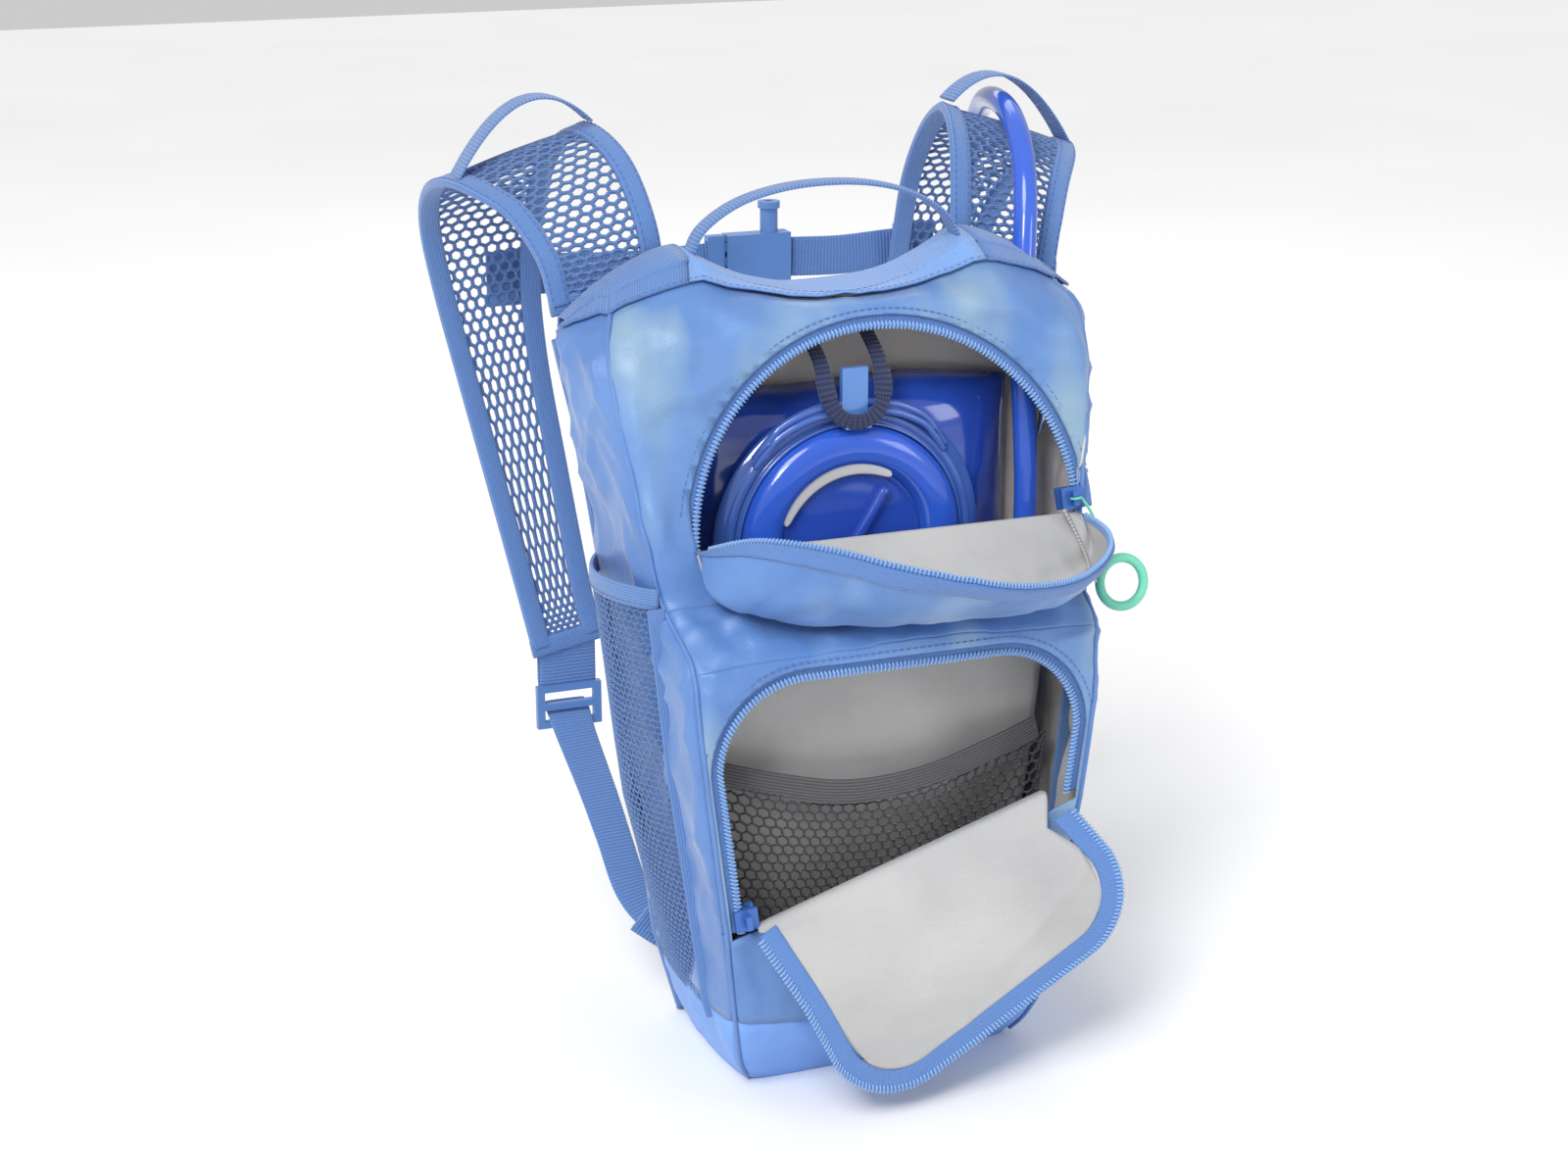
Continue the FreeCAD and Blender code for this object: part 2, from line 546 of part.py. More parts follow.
def ladder_lock(sign, x, y, ceiling):
    """A flat frame with two slots, just under the strap's end."""
    frame = Part.makeBox(30, 3.4, 20, Vector(sign * x - 15, y - 1.7, ceiling - 20))
    for start in (3.0, 11.5):
        frame = frame.cut(Part.makeBox(23, 8, 5.5, Vector(sign * x - 11.5, y - 4, ceiling - 20 + start)))
    return frame


def harness(side):
    """One shoulder strap with its edges, webbing and hose loop, and the shapes that both straps share."""
    sign = SIDES[side]
    keep(feature(f"strap_web_{side}", strap_band(sign, "mesh", strap_thick - 2)), f"strap_mesh_{side}")
    edges = [strap_band(sign, part, strap_thick) for part in ("inner", "outer")]
    keep(feature(f"strap_edges_{side}", Part.makeCompound(edges)), f"strap_edging_{side}")
    x, y, z, _, _ = STRAP[-1]
    tab = Part.makeBox(28, 4, 18, Vector(sign * x - 14, y - 2, z - 20.8))
    ceiling = z - 21
    # the webbing goes through the lock's lower slot and down to the corner of the bag
    half_wide, thick = size("webbing_width") / 2, size("webbing_thickness")
    through = ceiling - 20 + 3.0 + 2.75
    path = [Vector(sign * x, y + 9, through + 3), Vector(sign * x, y, through), Vector(sign * x, y - 9, through - 5),
            Vector(sign * (x - 2), 60, 76), Vector(sign * (x - 4), 24, 48)]
    sections = []
    for i, point in enumerate(path):
        along = path[min(i + 1, len(path) - 1)] - path[max(i - 1, 0)]
        across = X_AXIS * (half_wide if i < 3 else half_wide * 0.8)
        sections.append((point, across, along.cross(across).normalize() * (thick / 2)))
    keep(feature(f"webbing_{side}", ribbon(sections)), f"strap_webbing_{side}")
    # a folded triangle of cloth that joins the webbing to the bag
    end = path[-1]
    anchor = ribbon([(end - Vector(0, 0.4, 0.3), X_AXIS * half_wide * 0.9, Z_AXIS * 1.8),
                     (Vector(sign * (x - 16), 1.9, 36), X_AXIS * half_wide * 1.5, Z_AXIS * 1.8)])
    # the loop over the crest that guides a hose
    cx, cy, cz, half, droop = STRAP[3]
    slope = math.tan(math.radians(droop))
    loop = [Vector(sign * (cx + u * (half - 4)), cy, cz + strap_thick / 2 + 0.9 + 19 * (1 - u * u) - u * half * slope)
            for u in (-1, -0.75, -0.4, 0, 0.4, 0.75, 1)]
    keep(feature(f"crest_loop_{side}", strip(loop, Y_AXIS * 8, 1.4)), f"hose_loop_{side}")
    return tab, ladder_lock(sign, x, y, ceiling), anchor


pairs = []
for side in SIDES:
    side_pocket(side)
    pairs.append(harness(side))
for label, shapes in zip(("strap_end_tabs", "ladder_locks", "webbing_anchors"), zip(*pairs)):
    keep(feature(label + "_pair", Part.makeCompound(shapes)), label)

# the carry handle: a narrow webbing arch between the yoke's inner corners
handle_x, handle_low, handle_high = size("neck_half_width") - 2, size("yoke_inner_height") + 4, 356
handle = [Vector(u * handle_x, -9.5, handle_low + (handle_high - handle_low) * (1 - abs(u) ** 2.2))
          for u in (-1, -0.85, -0.6, -0.3, 0, 0.3, 0.6, 0.85, 1)]
keep(feature("handle", strip(handle, Vector(0, 5, 0), 1.8)), "carry_handle")

# the sternum strap: two webbings, a buckle with a whistle, and its anchors on the straps
chest_z, chest_y = 300, 122
socket_x, clip_reach = 20, 17


def sternum():
    """The chest strap that lies across the two shoulder straps."""
    half, thick, lap = 9, size("webbing_thickness"), 104
    low, high = (chest_y - thick / 2, chest_z - half), (chest_y + thick / 2, chest_z + half)
    plates = [Part.makeBox(20, 1.6, 24, Vector(sign * 96 - 10, chest_y - 2.8, chest_z - 12))
              for sign in SIDES.values()]
    keep(feature("sternum_plates", Part.makeCompound(plates)), "sternum_anchors")
    keep(box("sternum_web_right", (socket_x + 15.2, *low), (lap, *high)), "sternum_webbing_right")
    keep(box("sternum_web_left", (-lap, *low), (socket_x - 18.3, *high)), "sternum_webbing_left")
    block = Part.makeBox(30, 9, 24, Vector(socket_x - 15, chest_y - 4.5, chest_z - 12))
    mouth_cut = Part.makeBox(20, 5, 18, Vector(socket_x - 16, chest_y - 2.5, chest_z - 9))
    whistle = Part.makeCylinder(4, 14, Vector(socket_x + 6, chest_y, chest_z + 12), Z_AXIS)
    lip = Part.makeCylinder(5, 3, Vector(socket_x + 6, chest_y, chest_z + 23), Z_AXIS)
    bore = Part.makeCylinder(2, 16, Vector(socket_x + 6, chest_y, chest_z + 14), Z_AXIS)
    socket = block.cut(mouth_cut).fuse(whistle).fuse(lip).cut(bore).removeSplitter()
    keep(feature("buckle_female", socket), "buckle_socket")
    # the clip's bar has a slot that its webbing runs through
    clip = Part.makeBox(8, 5, 24, Vector(socket_x - 24, chest_y - 2.5, chest_z - 12))
    clip = clip.cut(Part.makeBox(7, thick + 0.8, 2 * half + 1, Vector(socket_x - 25, chest_y - thick / 2 - 0.4,
                                                                       chest_z - half - 0.5)))
    for foot in (-8.5, -2, 4.5):
        clip = clip.fuse(Part.makeBox(17, 4, 4, Vector(socket_x - 16.5, chest_y - 2, chest_z + foot)))
    keep(feature("buckle_male", clip.removeSplitter()), "buckle_clip")


sternum()

# ---------------------------------------------------------------- the hose and its valve
HOSE_RADIUS = size("hose_diameter") / 2
HOSE_ROUTE = [Vector(*p) for p in (
    (52, -46, 57), (56, -46, 84), (66, -45, 124), (76, -42, 172), (80, -38, 222), (81, -31, 262), (83, -21, 294),
    (86, -16.5, 318), (90, -9, 344), (96, 8, 363), (101, 32, 375), (106, 60, 377), (114, 88, 370), (121, 112, 350),
    (124, 127, 322), (122, 131, 290), (117, 131, 254), (112, 129, 216), (109, 125, 182), (108, 119, 152))]
keep(feature("hose_run", tube(HOSE_ROUTE, HOSE_RADIUS)), "drink_hose")
ease = (HOSE_ROUTE[-1] - HOSE_ROUTE[-2]).normalize()
tip = HOSE_ROUTE[-1]
valve = Part.makeCylinder(7, 22, tip + ease * 0.2, ease)
valve = valve.fuse(Part.makeCylinder(5.4, 8, tip + ease * 22.2, ease)).removeSplitter()
keep(feature("valve", valve), "valve_body")
lever_middle = tip + ease * 11
pivot = X_AXIS
lever_out = ease.cross(pivot).normalize()
if lever_out.y < 0:
    lever_out = -lever_out
boss = Part.makeCylinder(5, 3, lever_middle + lever_out * 7.3, lever_out)
arm = Part.makeBox(6, 18, 3)
arm.Placement = Placement(lever_middle + lever_out * 7.3 - X_AXIS * 3, Rotation(X_AXIS, ease, lever_out))
keep(feature("lever", boss.fuse(arm).removeSplitter()), "shutoff_lever")
bite = Part.makeCone(6.2, 8.5, 16, tip + ease * 30.4, ease)
bite = bite.fuse(Part.makeSphere(8.5, tip + ease * 46.4)).removeSplitter()
keep(feature("mouthpiece", bite), "bite_valve")


# ---------------------------------------------------------------- checks and files
doc.recompute()
broken = [o.Label for o in doc.Objects if {"Invalid", "Error"} & set(o.State)]
for node in nodes:
    if node.Shape.isNull() or not node.Shape.isValid() or not node.Shape.Solids:
        broken.append(node.Label)
if broken:
    raise SystemExit(f"these objects failed: {broken}")
os.makedirs("parts", exist_ok=True)
for old in os.listdir("parts"):
    os.remove(os.path.join("parts", old))
for node in nodes:
    node.Shape.exportStep(f"parts/{node.Label}.step")
print(f"{len(nodes)} sub-parts written")
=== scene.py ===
import json
import math

import bmesh
import bpy
import numpy as np
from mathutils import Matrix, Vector, noise


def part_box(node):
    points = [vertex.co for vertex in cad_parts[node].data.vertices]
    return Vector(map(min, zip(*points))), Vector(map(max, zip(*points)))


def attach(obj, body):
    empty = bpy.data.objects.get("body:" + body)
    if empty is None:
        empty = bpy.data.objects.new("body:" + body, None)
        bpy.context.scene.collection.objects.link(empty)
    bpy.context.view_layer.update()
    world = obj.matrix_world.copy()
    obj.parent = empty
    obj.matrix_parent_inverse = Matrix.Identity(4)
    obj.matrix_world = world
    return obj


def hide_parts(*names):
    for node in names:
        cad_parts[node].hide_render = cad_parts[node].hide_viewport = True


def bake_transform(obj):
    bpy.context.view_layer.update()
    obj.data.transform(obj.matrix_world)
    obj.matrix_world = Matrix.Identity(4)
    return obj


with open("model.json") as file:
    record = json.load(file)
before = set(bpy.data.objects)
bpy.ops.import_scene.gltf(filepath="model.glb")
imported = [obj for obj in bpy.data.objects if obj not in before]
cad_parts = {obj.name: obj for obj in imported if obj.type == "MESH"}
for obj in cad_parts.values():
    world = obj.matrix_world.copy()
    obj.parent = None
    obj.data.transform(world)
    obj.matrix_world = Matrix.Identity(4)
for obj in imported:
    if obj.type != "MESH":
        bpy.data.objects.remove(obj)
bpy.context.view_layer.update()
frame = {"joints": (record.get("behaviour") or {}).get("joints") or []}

MM = 0.001
UP = np.array([0.0, 0.0, 1.0])


# ---- numbers and curves
def node_box(node):
    """A CAD node's lowest and highest corners, in millimetres."""
    return tuple(np.array(corner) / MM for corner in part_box(node))


def smooth(points, count):
    """count points along a Catmull-Rom curve through the given ones. Points may be rows of a loft."""
    points = np.asarray(points, float)
    ends = (2 * points[0] - points[1], 2 * points[-1] - points[-2])
    padded = np.concatenate([[ends[0]], points, [ends[1]]])
    where = np.linspace(0, len(points) - 1, count)
    index = np.minimum(where.astype(int), len(points) - 2)
    t = (where - index).reshape((-1,) + (1,) * (points.ndim - 1))
    a, b, c, d = (padded[index + k] for k in range(4))
    return 0.5 * (2 * b + (c - a) * t + (2 * a - 5 * b + 4 * c - d) * t**2 + (3 * b - a - 3 * c + d) * t**3)


def lengths(points):
    """The distance along a polyline to each of its points."""
    return np.concatenate([[0], np.cumsum(np.linalg.norm(np.diff(points, axis=0), axis=1))])


def even(points, spacing):
    """Points at an even spacing along a polyline, and the polyline's direction at each."""
    points = np.asarray(points, float)
    along = lengths(points)
    count = max(2, int(along[-1] / spacing) + 1)
    where = np.linspace(0, along[-1], count)
    placed = np.stack([np.interp(where, along, points[:, k]) for k in range(3)], axis=1)
    ways = np.gradient(placed, axis=0)
    return placed, ways / np.linalg.norm(ways, axis=1)[:, None]


def unit(vectors):
    """Vectors at length 1."""
    vectors = np.asarray(vectors, float)
    return vectors / np.maximum(np.linalg.norm(vectors, axis=-1, keepdims=True), 1e-9)


def row_normals(rows):
    """The direction square to a sheet at each point of its rows: outwards where they run round the bag."""
    return unit(np.cross(np.gradient(rows, axis=1), np.gradient(rows, axis=0)))


def turned(points, centre, axis, degrees):
    """Points turned about an axis by the right-hand rule."""
    axis, angle = unit(axis), math.radians(degrees)
    arm = np.asarray(points, float) - centre
    along = (arm @ axis)[..., None] * axis
    return centre + along + (arm - along) * math.cos(angle) + np.cross(axis, arm) * math.sin(angle)


def mirrored(half):
    """Points that end in the middle, and then their mirror images in X."""
    return half + [(-x, y, z) for x, y, z in half[-2::-1]]


def rough(points, scale, seed=0.0):
    """Smooth noise from -1 to 1 at each point."""
    flat = np.asarray(points, float).reshape(-1, 3)
    values = [noise.noise(Vector(p * scale) + Vector((seed, seed * 0.7, -seed))) for p in flat]
    return np.array(values).reshape(np.asarray(points).shape[:-1])


def ridges(points, scale, seed=0.0):
    """Sharp creases from 0 to 1, where a smooth noise passes through nothing."""
    return (1 - np.clip(np.abs(rough(points, scale, seed)) * 3.2, 0, 1)) ** 1.5


# ---- materials
def srgb(red, green, blue):
    """A linear colour from screen values."""
    return tuple((v / 255 / 12.92) if v < 11 else ((v / 255 + 0.055) / 1.055) ** 2.4
                 for v in (red, green, blue))


class Shader:
    """A Principled material that is built node by node."""

    def __init__(self, name, roughness=0.6, **sockets):
        self.material = bpy.data.materials.new(name)
        self.material.use_nodes = True
        self.tree = self.material.node_tree
        self.shader = self.tree.nodes["Principled BSDF"]
        self.shader.inputs["Roughness"].default_value = roughness
        for socket, value in sockets.items():
            self.shader.inputs[socket.replace("_", " ")].default_value = value

    def node(self, kind, **values):
        made = self.tree.nodes.new("ShaderNode" + kind)
        for key, value in values.items():
            if key in made.inputs:
                made.inputs[key].default_value = value
            else:
                setattr(made, key, value)
        return made

    def link(self, source, target):
        self.tree.links.new(source, target)

    def coordinates(self, kind, scale):
        """Coordinates of a kind (UV or Object), times a scale on each axis."""
        where = self.node("TexCoord")
        mapping = self.node("Mapping")
        mapping.inputs["Scale"].default_value = scale
        self.link(where.outputs[kind], mapping.inputs["Vector"])
        return mapping.outputs["Vector"]

    def noise(self, scale, detail=3.0, stretch=(1, 1, 1), roughness=0.5):
        made = self.node("TexNoise", Scale=scale, Detail=detail, Roughness=roughness)
        self.link(self.coordinates("Object", stretch), made.inputs["Vector"])
        return made.outputs["Fac"]

    def wave(self, scale, direction):
        made = self.node("TexWave", Scale=scale, bands_direction=direction)
        self.link(self.coordinates("UV", (1, 1, 1)), made.inputs["Vector"])
        return made.outputs["Fac"]

    def sums(self, operation, first, second):
        made = self.node("Math", operation=operation)
        for socket, value in zip(made.inputs, (first, second)):
            if isinstance(value, (int, float)):
                socket.default_value = value
            else:
                self.link(value, socket)
        return made.outputs[0]

    def colours(self, factor, *stops):
        """A colour ramp from (position, colour) stops."""
        ramp = self.node("ValToRGB")
        elements = ramp.color_ramp.elements
        while len(elements) < len(stops):
            elements.new(0.5)
        for element, (position, colour) in zip(elements, stops):
            element.position = position
            element.color = (*colour, 1)
        self.link(factor, ramp.inputs["Fac"])
        return ramp.outputs["Color"]

    def mixed(self, factor, first, second):
        """The first colour, turning by a factor into the second, which is the same all over."""
        made = self.node("Mix", data_type="RGBA")
        self.link(factor, made.inputs[0])
        self.link(first, made.inputs[6])
        made.inputs[7].default_value = (*second, 1)
        return made.outputs[2]

    def paint(self, colour):
        self.link(colour, self.shader.inputs["Base Color"])

    def bump(self, height, distance, strength=1.0):
        """Adds a bump of a height in metres under any bump that is there."""
        made = self.node("Bump", Strength=strength, Distance=distance)
        self.link(height, made.inputs["Height"])
        before = self.shader.inputs["Normal"].links
        if before:
            self.link(before[0].from_socket, made.inputs["Normal"])
        self.link(made.outputs["Normal"], self.shader.inputs["Normal"])

    def rough_by(self, factor, low, high):
        made = self.node("MapRange")
        made.inputs["To Min"].default_value = low
        made.inputs["To Max"].default_value = high
        self.link(factor, made.inputs["Value"])
        self.link(made.outputs["Result"], self.shader.inputs["Roughness"])


def weave(shader, pitch, depth):
    """Crossing threads of a pitch in metres, as a bump; returns their height."""
    scale = 0.314 / pitch
    threads = shader.sums("MAXIMUM", shader.wave(scale, "X"), shader.wave(scale, "Y"))
    shader.bump(threads, depth)
    return threads


def nylon(name, dark, light, painted_highlight=None, pitch=0.0009, roughness=0.45, sheen=0.25):
    """Coated woven nylon: slow changes of shade, fine threads, small creases, and pale patches of painted
    highlight if a highlight colour is named.
    """
    shader = Shader(name, roughness, Sheen_Weight=sheen, Sheen_Roughness=0.4)
    shade = shader.noise(14, 4, (1, 1, 1.6))
    colour = shader.colours(shade, (0.3, dark), (0.7, light))
    if painted_highlight:
        # pale patches of the named colour: a painted highlight of sheen on the cloth
        highlight_patches = shader.noise(11, 2.5, (1.7, 1.0, 0.65), roughness=0.6)
        strength = shader.colours(highlight_patches, (0.50, (0, 0, 0)), (0.66, (0.85, 0.85, 0.85)))
        colour = shader.mixed(strength, colour, painted_highlight)
    threads = weave(shader, pitch, 0.00006)
    colour = shader.mixed(shader.sums("MULTIPLY", threads, 0.10), colour, tuple(v * 0.55 for v in dark))
    shader.paint(colour)
    shader.bump(shader.noise(34, 5, (1, 1, 0.55)), 0.0022, 0.7)
    shader.bump(shader.noise(60, 3, (0.4, 1, 1.5)), 0.0010, 0.6)
    shader.rough_by(shade, roughness - 0.07, roughness + 0.1)
    return shader.material


def ribbed(name, dark, light, pitch=0.0016, direction="Y", depth=0.0003, roughness=0.75):
    """Woven webbing, tape or elastic: ribs across its length and a fuzzy surface."""
    shader = Shader(name, roughness, Sheen_Weight=0.35, Sheen_Roughness=0.5)
    ribs = shader.wave(0.314 / pitch, direction)
    across = shader.wave(0.314 / (pitch * 0.62), "X" if direction == "Y" else "Y")
    threads = shader.sums("MULTIPLY", ribs, shader.sums("ADD", across, 0.6))
    colour = shader.colours(threads, (0.1, dark), (0.9, light))
    dust = shader.noise(420, 2)
    shader.paint(shader.mixed(shader.sums("MULTIPLY", dust, 0.25), colour, light))
    shader.bump(threads, depth)
    shader.bump(shader.noise(900, 2), 0.00006, 0.5)
    return shader.material


def moulded(name, colour, roughness=0.35, grain=260, **sockets):
    """Moulded plastic with a fine grain and faint flow marks."""
    shader = Shader(name, roughness, **sockets)
    marks = shader.noise(30, 3)
    shader.paint(shader.colours(marks, (0.25, tuple(v * 0.86 for v in colour)), (0.75, colour)))
    shader.bump(shader.noise(grain, 3), 0.00004, 0.4)
    shader.rough_by(marks, max(0.03, roughness - 0.06), roughness + 0.07)
    return shader.material


# the panel's third colour is a painted highlight, laid on in pale patches
PANEL = nylon("panel_nylon", srgb(84, 125, 189), srgb(113, 154, 211), srgb(148, 177, 194), roughness=0.34)
SIDE = nylon("side_nylon", srgb(82, 122, 187), srgb(104, 144, 205), None, roughness=0.4)
BOTTOM = nylon("bottom_nylon", srgb(110, 157, 228), srgb(126, 172, 242), None, 0.0014, 0.55, 0.1)
# the flap's third colour is a painted highlight, laid on in pale patches
FLAP = nylon("flap_nylon", srgb(84, 126, 190), srgb(105, 147, 207), srgb(146, 176, 212), roughness=0.36)
LINING = nylon("lining_cloth", srgb(172, 172, 173), srgb(191, 191, 191), None, 0.0012, 0.6, 0.15)
WARM_LINING = nylon("warm_lining_cloth", srgb(192, 187, 181), srgb(212, 207, 201), None, 0.0012, 0.62, 0.15)
BINDING = ribbed("edge_binding", srgb(75, 115, 179), srgb(102, 142, 201), 0.0011, "X", 0.00018)
NECK = ribbed("neck_binding", srgb(106, 149, 213), srgb(132, 173, 231), 0.0011, "X", 0.00018)
TAPE = ribbed("zip_tape", srgb(72, 114, 182), srgb(100, 142, 204), 0.0010, "Y", 0.00014)
WEBBING = ribbed("strap_webbing", srgb(73, 114, 179), srgb(104, 144, 203))
STAY = ribbed("stay_webbing", srgb(150, 152, 152), srgb(196, 196, 192), 0.0018)
NAVY = ribbed("navy_webbing", srgb(18, 26, 52), srgb(38, 54, 104), 0.0022)
ELASTIC = ribbed("dark_elastic", srgb(58, 58, 62), srgb(104, 104, 108), 0.0013, "X", 0.0003, 0.85)
NET = ribbed("net_strand", srgb(72, 113, 180), srgb(102, 143, 203), 0.0009)
DARK_NET = ribbed("dark_net_strand", srgb(40, 41, 45), srgb(78, 79, 84), 0.0009)
FOAM_MESH = ribbed("spacer_mesh", srgb(74, 113, 180), srgb(108, 150, 210), 0.0024, "Y", 0.0006, 0.8)
THREAD = ribbed("thread", srgb(66, 104, 172), srgb(96, 136, 200), 0.0006)
# the coil teeth are coloured lighter than their tape, as a painted highlight along the coil
TEETH = moulded("coil_teeth", srgb(138, 179, 231), 0.3)
METAL = moulded("painted_slider", srgb(70, 116, 196), 0.28, Metallic=0.25)
MINT = moulded("mint_ring", srgb(120, 214, 184), 0.4)
FILM = moulded("reservoir_film", srgb(44, 80, 186), 0.13, 90, Coat_Weight=0.6, Coat_Roughness=0.08)
CAP = moulded("cap_plastic", srgb(48, 96, 212), 0.16, 200, Coat_Weight=0.5, Coat_Roughness=0.06)
CLEAR = moulded("collar_plastic", srgb(84, 128, 224), 0.12, 200, Coat_Weight=0.7, Coat_Roughness=0.05,
                Transmission_Weight=0.35)
PALE = moulded("pale_insert", srgb(208, 208, 210), 0.45)
HOOK = moulded("hook_plastic", srgb(92, 142, 216), 0.2, Coat_Weight=0.4)
HOSE = moulded("hose_rubber", srgb(52, 98, 212), 0.16, 300, Coat_Weight=0.7, Coat_Roughness=0.08)
SILICONE = moulded("silicone", srgb(92, 142, 214), 0.38, 160, Subsurface_Weight=0.15)
BUCKLE = moulded("buckle_acetal", srgb(98, 138, 198), 0.42)
RUBBER = moulded("gasket_rubber", srgb(190, 192, 196), 0.6)


# ---- meshes
def linked(name, data):
    """A new object in the scene that holds the data."""
    made = bpy.data.objects.new(name, data)
    bpy.context.scene.collection.objects.link(made)
    return made


def smoothed(mesh):
    """The mesh with every face shaded smooth."""
    mesh.polygons.foreach_set("use_smooth", [True] * len(mesh.polygons))
    return mesh


def add_object(name, vertices, faces, materials, uv=None):
    """A mesh object from vertices in millimetres. uv holds one pair in metres for each vertex."""
    mesh = bpy.data.meshes.new(name)
    mesh.from_pydata([tuple(v) for v in np.asarray(vertices, float) * MM], [], [tuple(f) for f in faces])
    for material in materials:
        mesh.materials.append(material)
    if uv is not None:
        layer = mesh.uv_layers.new(name="UVMap")
        for loop in mesh.loops:
            layer.data[loop.index].uv = uv[loop.vertex_index]
    return linked(name, smoothed(mesh))


def applied(made, kind, **settings):
    """The object with one modifier of a kind applied."""
    modifier = made.modifiers.new(kind.lower(), kind)
    for key, value in settings.items():
        setattr(modifier, key, value)
    bpy.context.view_layer.update()
    evaluated = made.evaluated_get(bpy.context.evaluated_depsgraph_get())
    mesh = bpy.data.meshes.new_from_object(evaluated)
    made.modifiers.clear()
    old, made.data = made.data, mesh
    bpy.data.meshes.remove(old)
    return made


def grid_faces(rows, columns, closed=False):
    """Quads of a grid of rows by columns, whose last column may join its first."""
    faces = []
    for r in range(rows - 1):
        for c in range(columns if closed else columns - 1):
            d = (c + 1) % columns
            faces.append((r * columns + c, r * columns + d, (r + 1) * columns + d, (r + 1) * columns + c))
    return faces


def grid_uv(grid):
    """Distances in metres along the middle row and the middle column of a grid."""
    u, v = (lengths(line) * MM for line in (grid[len(grid) // 2], grid[:, grid.shape[1] // 2]))
    return np.stack(np.meshgrid(u, v), axis=-1).reshape(-1, 2)


def cloth(name, grid, outer, inner, thickness, offset=-1.0):
    """A sheet of cloth from a grid of points: an outer and an inner face of their own materials."""
    rows, columns = grid.shape[:2]
    faces = grid_faces(rows, columns)
    made = add_object(name, grid.reshape(-1, 3), faces, [outer, inner, outer], grid_uv(grid))
    return applied(made, "SOLIDIFY", thickness=thickness * MM, offset=offset, material_offset=1,
                   material_offset_rim=2, use_even_offset=False)


def ribbon(name, path, across, width, thickness, material):
    """Flat webbing along a path. across is the direction of its width, or one at each path point."""
    path = smooth(path, max(8, len(path) * 8)) if len(path) > 2 else np.asarray(path, float)
    across = np.asarray(across, float)
    if across.ndim == 2:
        across = smooth(across, len(path))
    else:
        across = np.repeat(across[None], len(path), axis=0)
    widths = np.interp(np.linspace(0, 1, len(path)), np.linspace(0, 1, np.size(width)), np.atleast_1d(width))
    ways = unit(np.gradient(path, axis=0))
    across = unit(across - (across * ways).sum(1)[:, None] * ways)
    normals = np.cross(ways, across)
    # the outline of the section, a flat oval with full corners
    count = 20
    angles = circle(count)
    flat = np.sign(np.cos(angles)) * np.abs(np.cos(angles)) ** 0.45
    high = np.sign(np.sin(angles)) * np.abs(np.sin(angles)) ** 0.8
    points = (path[:, None] + across[:, None] * (widths[:, None] / 2 * flat)[..., None]
              + normals[:, None] * (high * thickness / 2)[None, :, None])
    length = lengths(path) * MM
    uv = np.stack([np.tile(flat * np.mean(widths) / 2 * MM, len(path)), np.repeat(length, count)], axis=1)
    return add_object(name, points.reshape(-1, 3), tube_faces(len(path), count), [material], uv)


def circle(sides):
    """The angles of a ring's corners."""
    return np.linspace(0, 2 * math.pi, sides, endpoint=False)


def tube_faces(rings, sides):
    """The faces of a stack of rings, closed at both ends."""
    last = (rings - 1) * sides
    return grid_faces(rings, sides, closed=True) + [tuple(range(sides - 1, -1, -1)),
                                                    tuple(range(last, last + sides))]


def tube(name, path, radius, material, sides=12):
    """A round tube along a path."""
    path = np.asarray(path, float)
    ways = unit(np.gradient(path, axis=0))
    first = unit(np.cross(ways, UP + 0.01))
    second = np.cross(ways, first)
    angles = circle(sides)
    ring = np.cos(angles)[None, :, None] * first[:, None] + np.sin(angles)[None, :, None] * second[:, None]
    points = path[:, None] + ring * radius
    return add_object(name, points.reshape(-1, 3), tube_faces(len(path), sides), [material], grid_uv(points))


def lathe(name, profile, centre, axis, material):
    """A turned piece: (radius, height) points swept about an axis through centre."""
    axis = unit(axis)
    first = unit(np.cross(axis, [0.3, 0.2, 0.9]))
    second = np.cross(axis, first)
    sides = 96
    angles = circle(sides)
    ring = np.cos(angles)[:, None] * first + np.sin(angles)[:, None] * second
    profile = np.asarray(profile, float)
    points = (np.asarray(centre, float) + profile[:, 0, None, None] * ring[None]
              + profile[:, 1, None, None] * axis)
    faces = grid_faces(len(profile), sides, closed=True)
    along = np.repeat(np.arange(len(profile)) * 0.002, sides)
    uv = np.stack([np.tile(angles * 0.05, len(profile)), along], 1)
    return add_object(name, points.reshape(-1, 3), faces, [material], uv)


def joined(name, parts):
    """Several objects made into one."""
    bpy.ops.object.select_all(action="DESELECT")
    for part in parts:
        part.select_set(True)
    bpy.context.view_layer.objects.active = parts[0]
    bpy.ops.object.join()
    made = bpy.context.view_layer.objects.active
    made.name = made.data.name = name
    return made


def beads(name, places, ways, normals, material, length, width, height, sides=6):
    """Small rounded bars, as stitches or teeth: one at each place, along its way, standing on its normal."""
    places, ways = np.asarray(places, float), unit(ways)
    normals = np.broadcast_to(normals, places.shape)
    normals = unit(normals - (normals * ways).sum(1)[:, None] * ways)
    across = np.cross(normals, ways)
    stations = np.array([-0.5, -0.36, 0.0, 0.36, 0.5]) * length
    swell = np.array([0.35, 0.85, 1.0, 0.85, 0.35])
    angles = circle(sides)
    ring_wide = (np.cos(angles) * width / 2)[None] * swell[:, None]
    ring_high = (np.sin(angles) * height / 2)[None] * swell[:, None]
    points = (places[:, None, None] + ways[:, None, None] * stations[None, :, None, None]
              + across[:, None, None] * ring_wide[None, ..., None]
              + normals[:, None, None] * ring_high[None, ..., None])
    one = tube_faces(len(stations), sides)
    size = len(stations) * sides
    faces = [tuple(index + k * size for index in face) for k in range(len(places)) for face in one]
    uv = np.zeros((len(places) * size, 2))
    return add_object(name, points.reshape(-1, 3), faces, [material], uv)


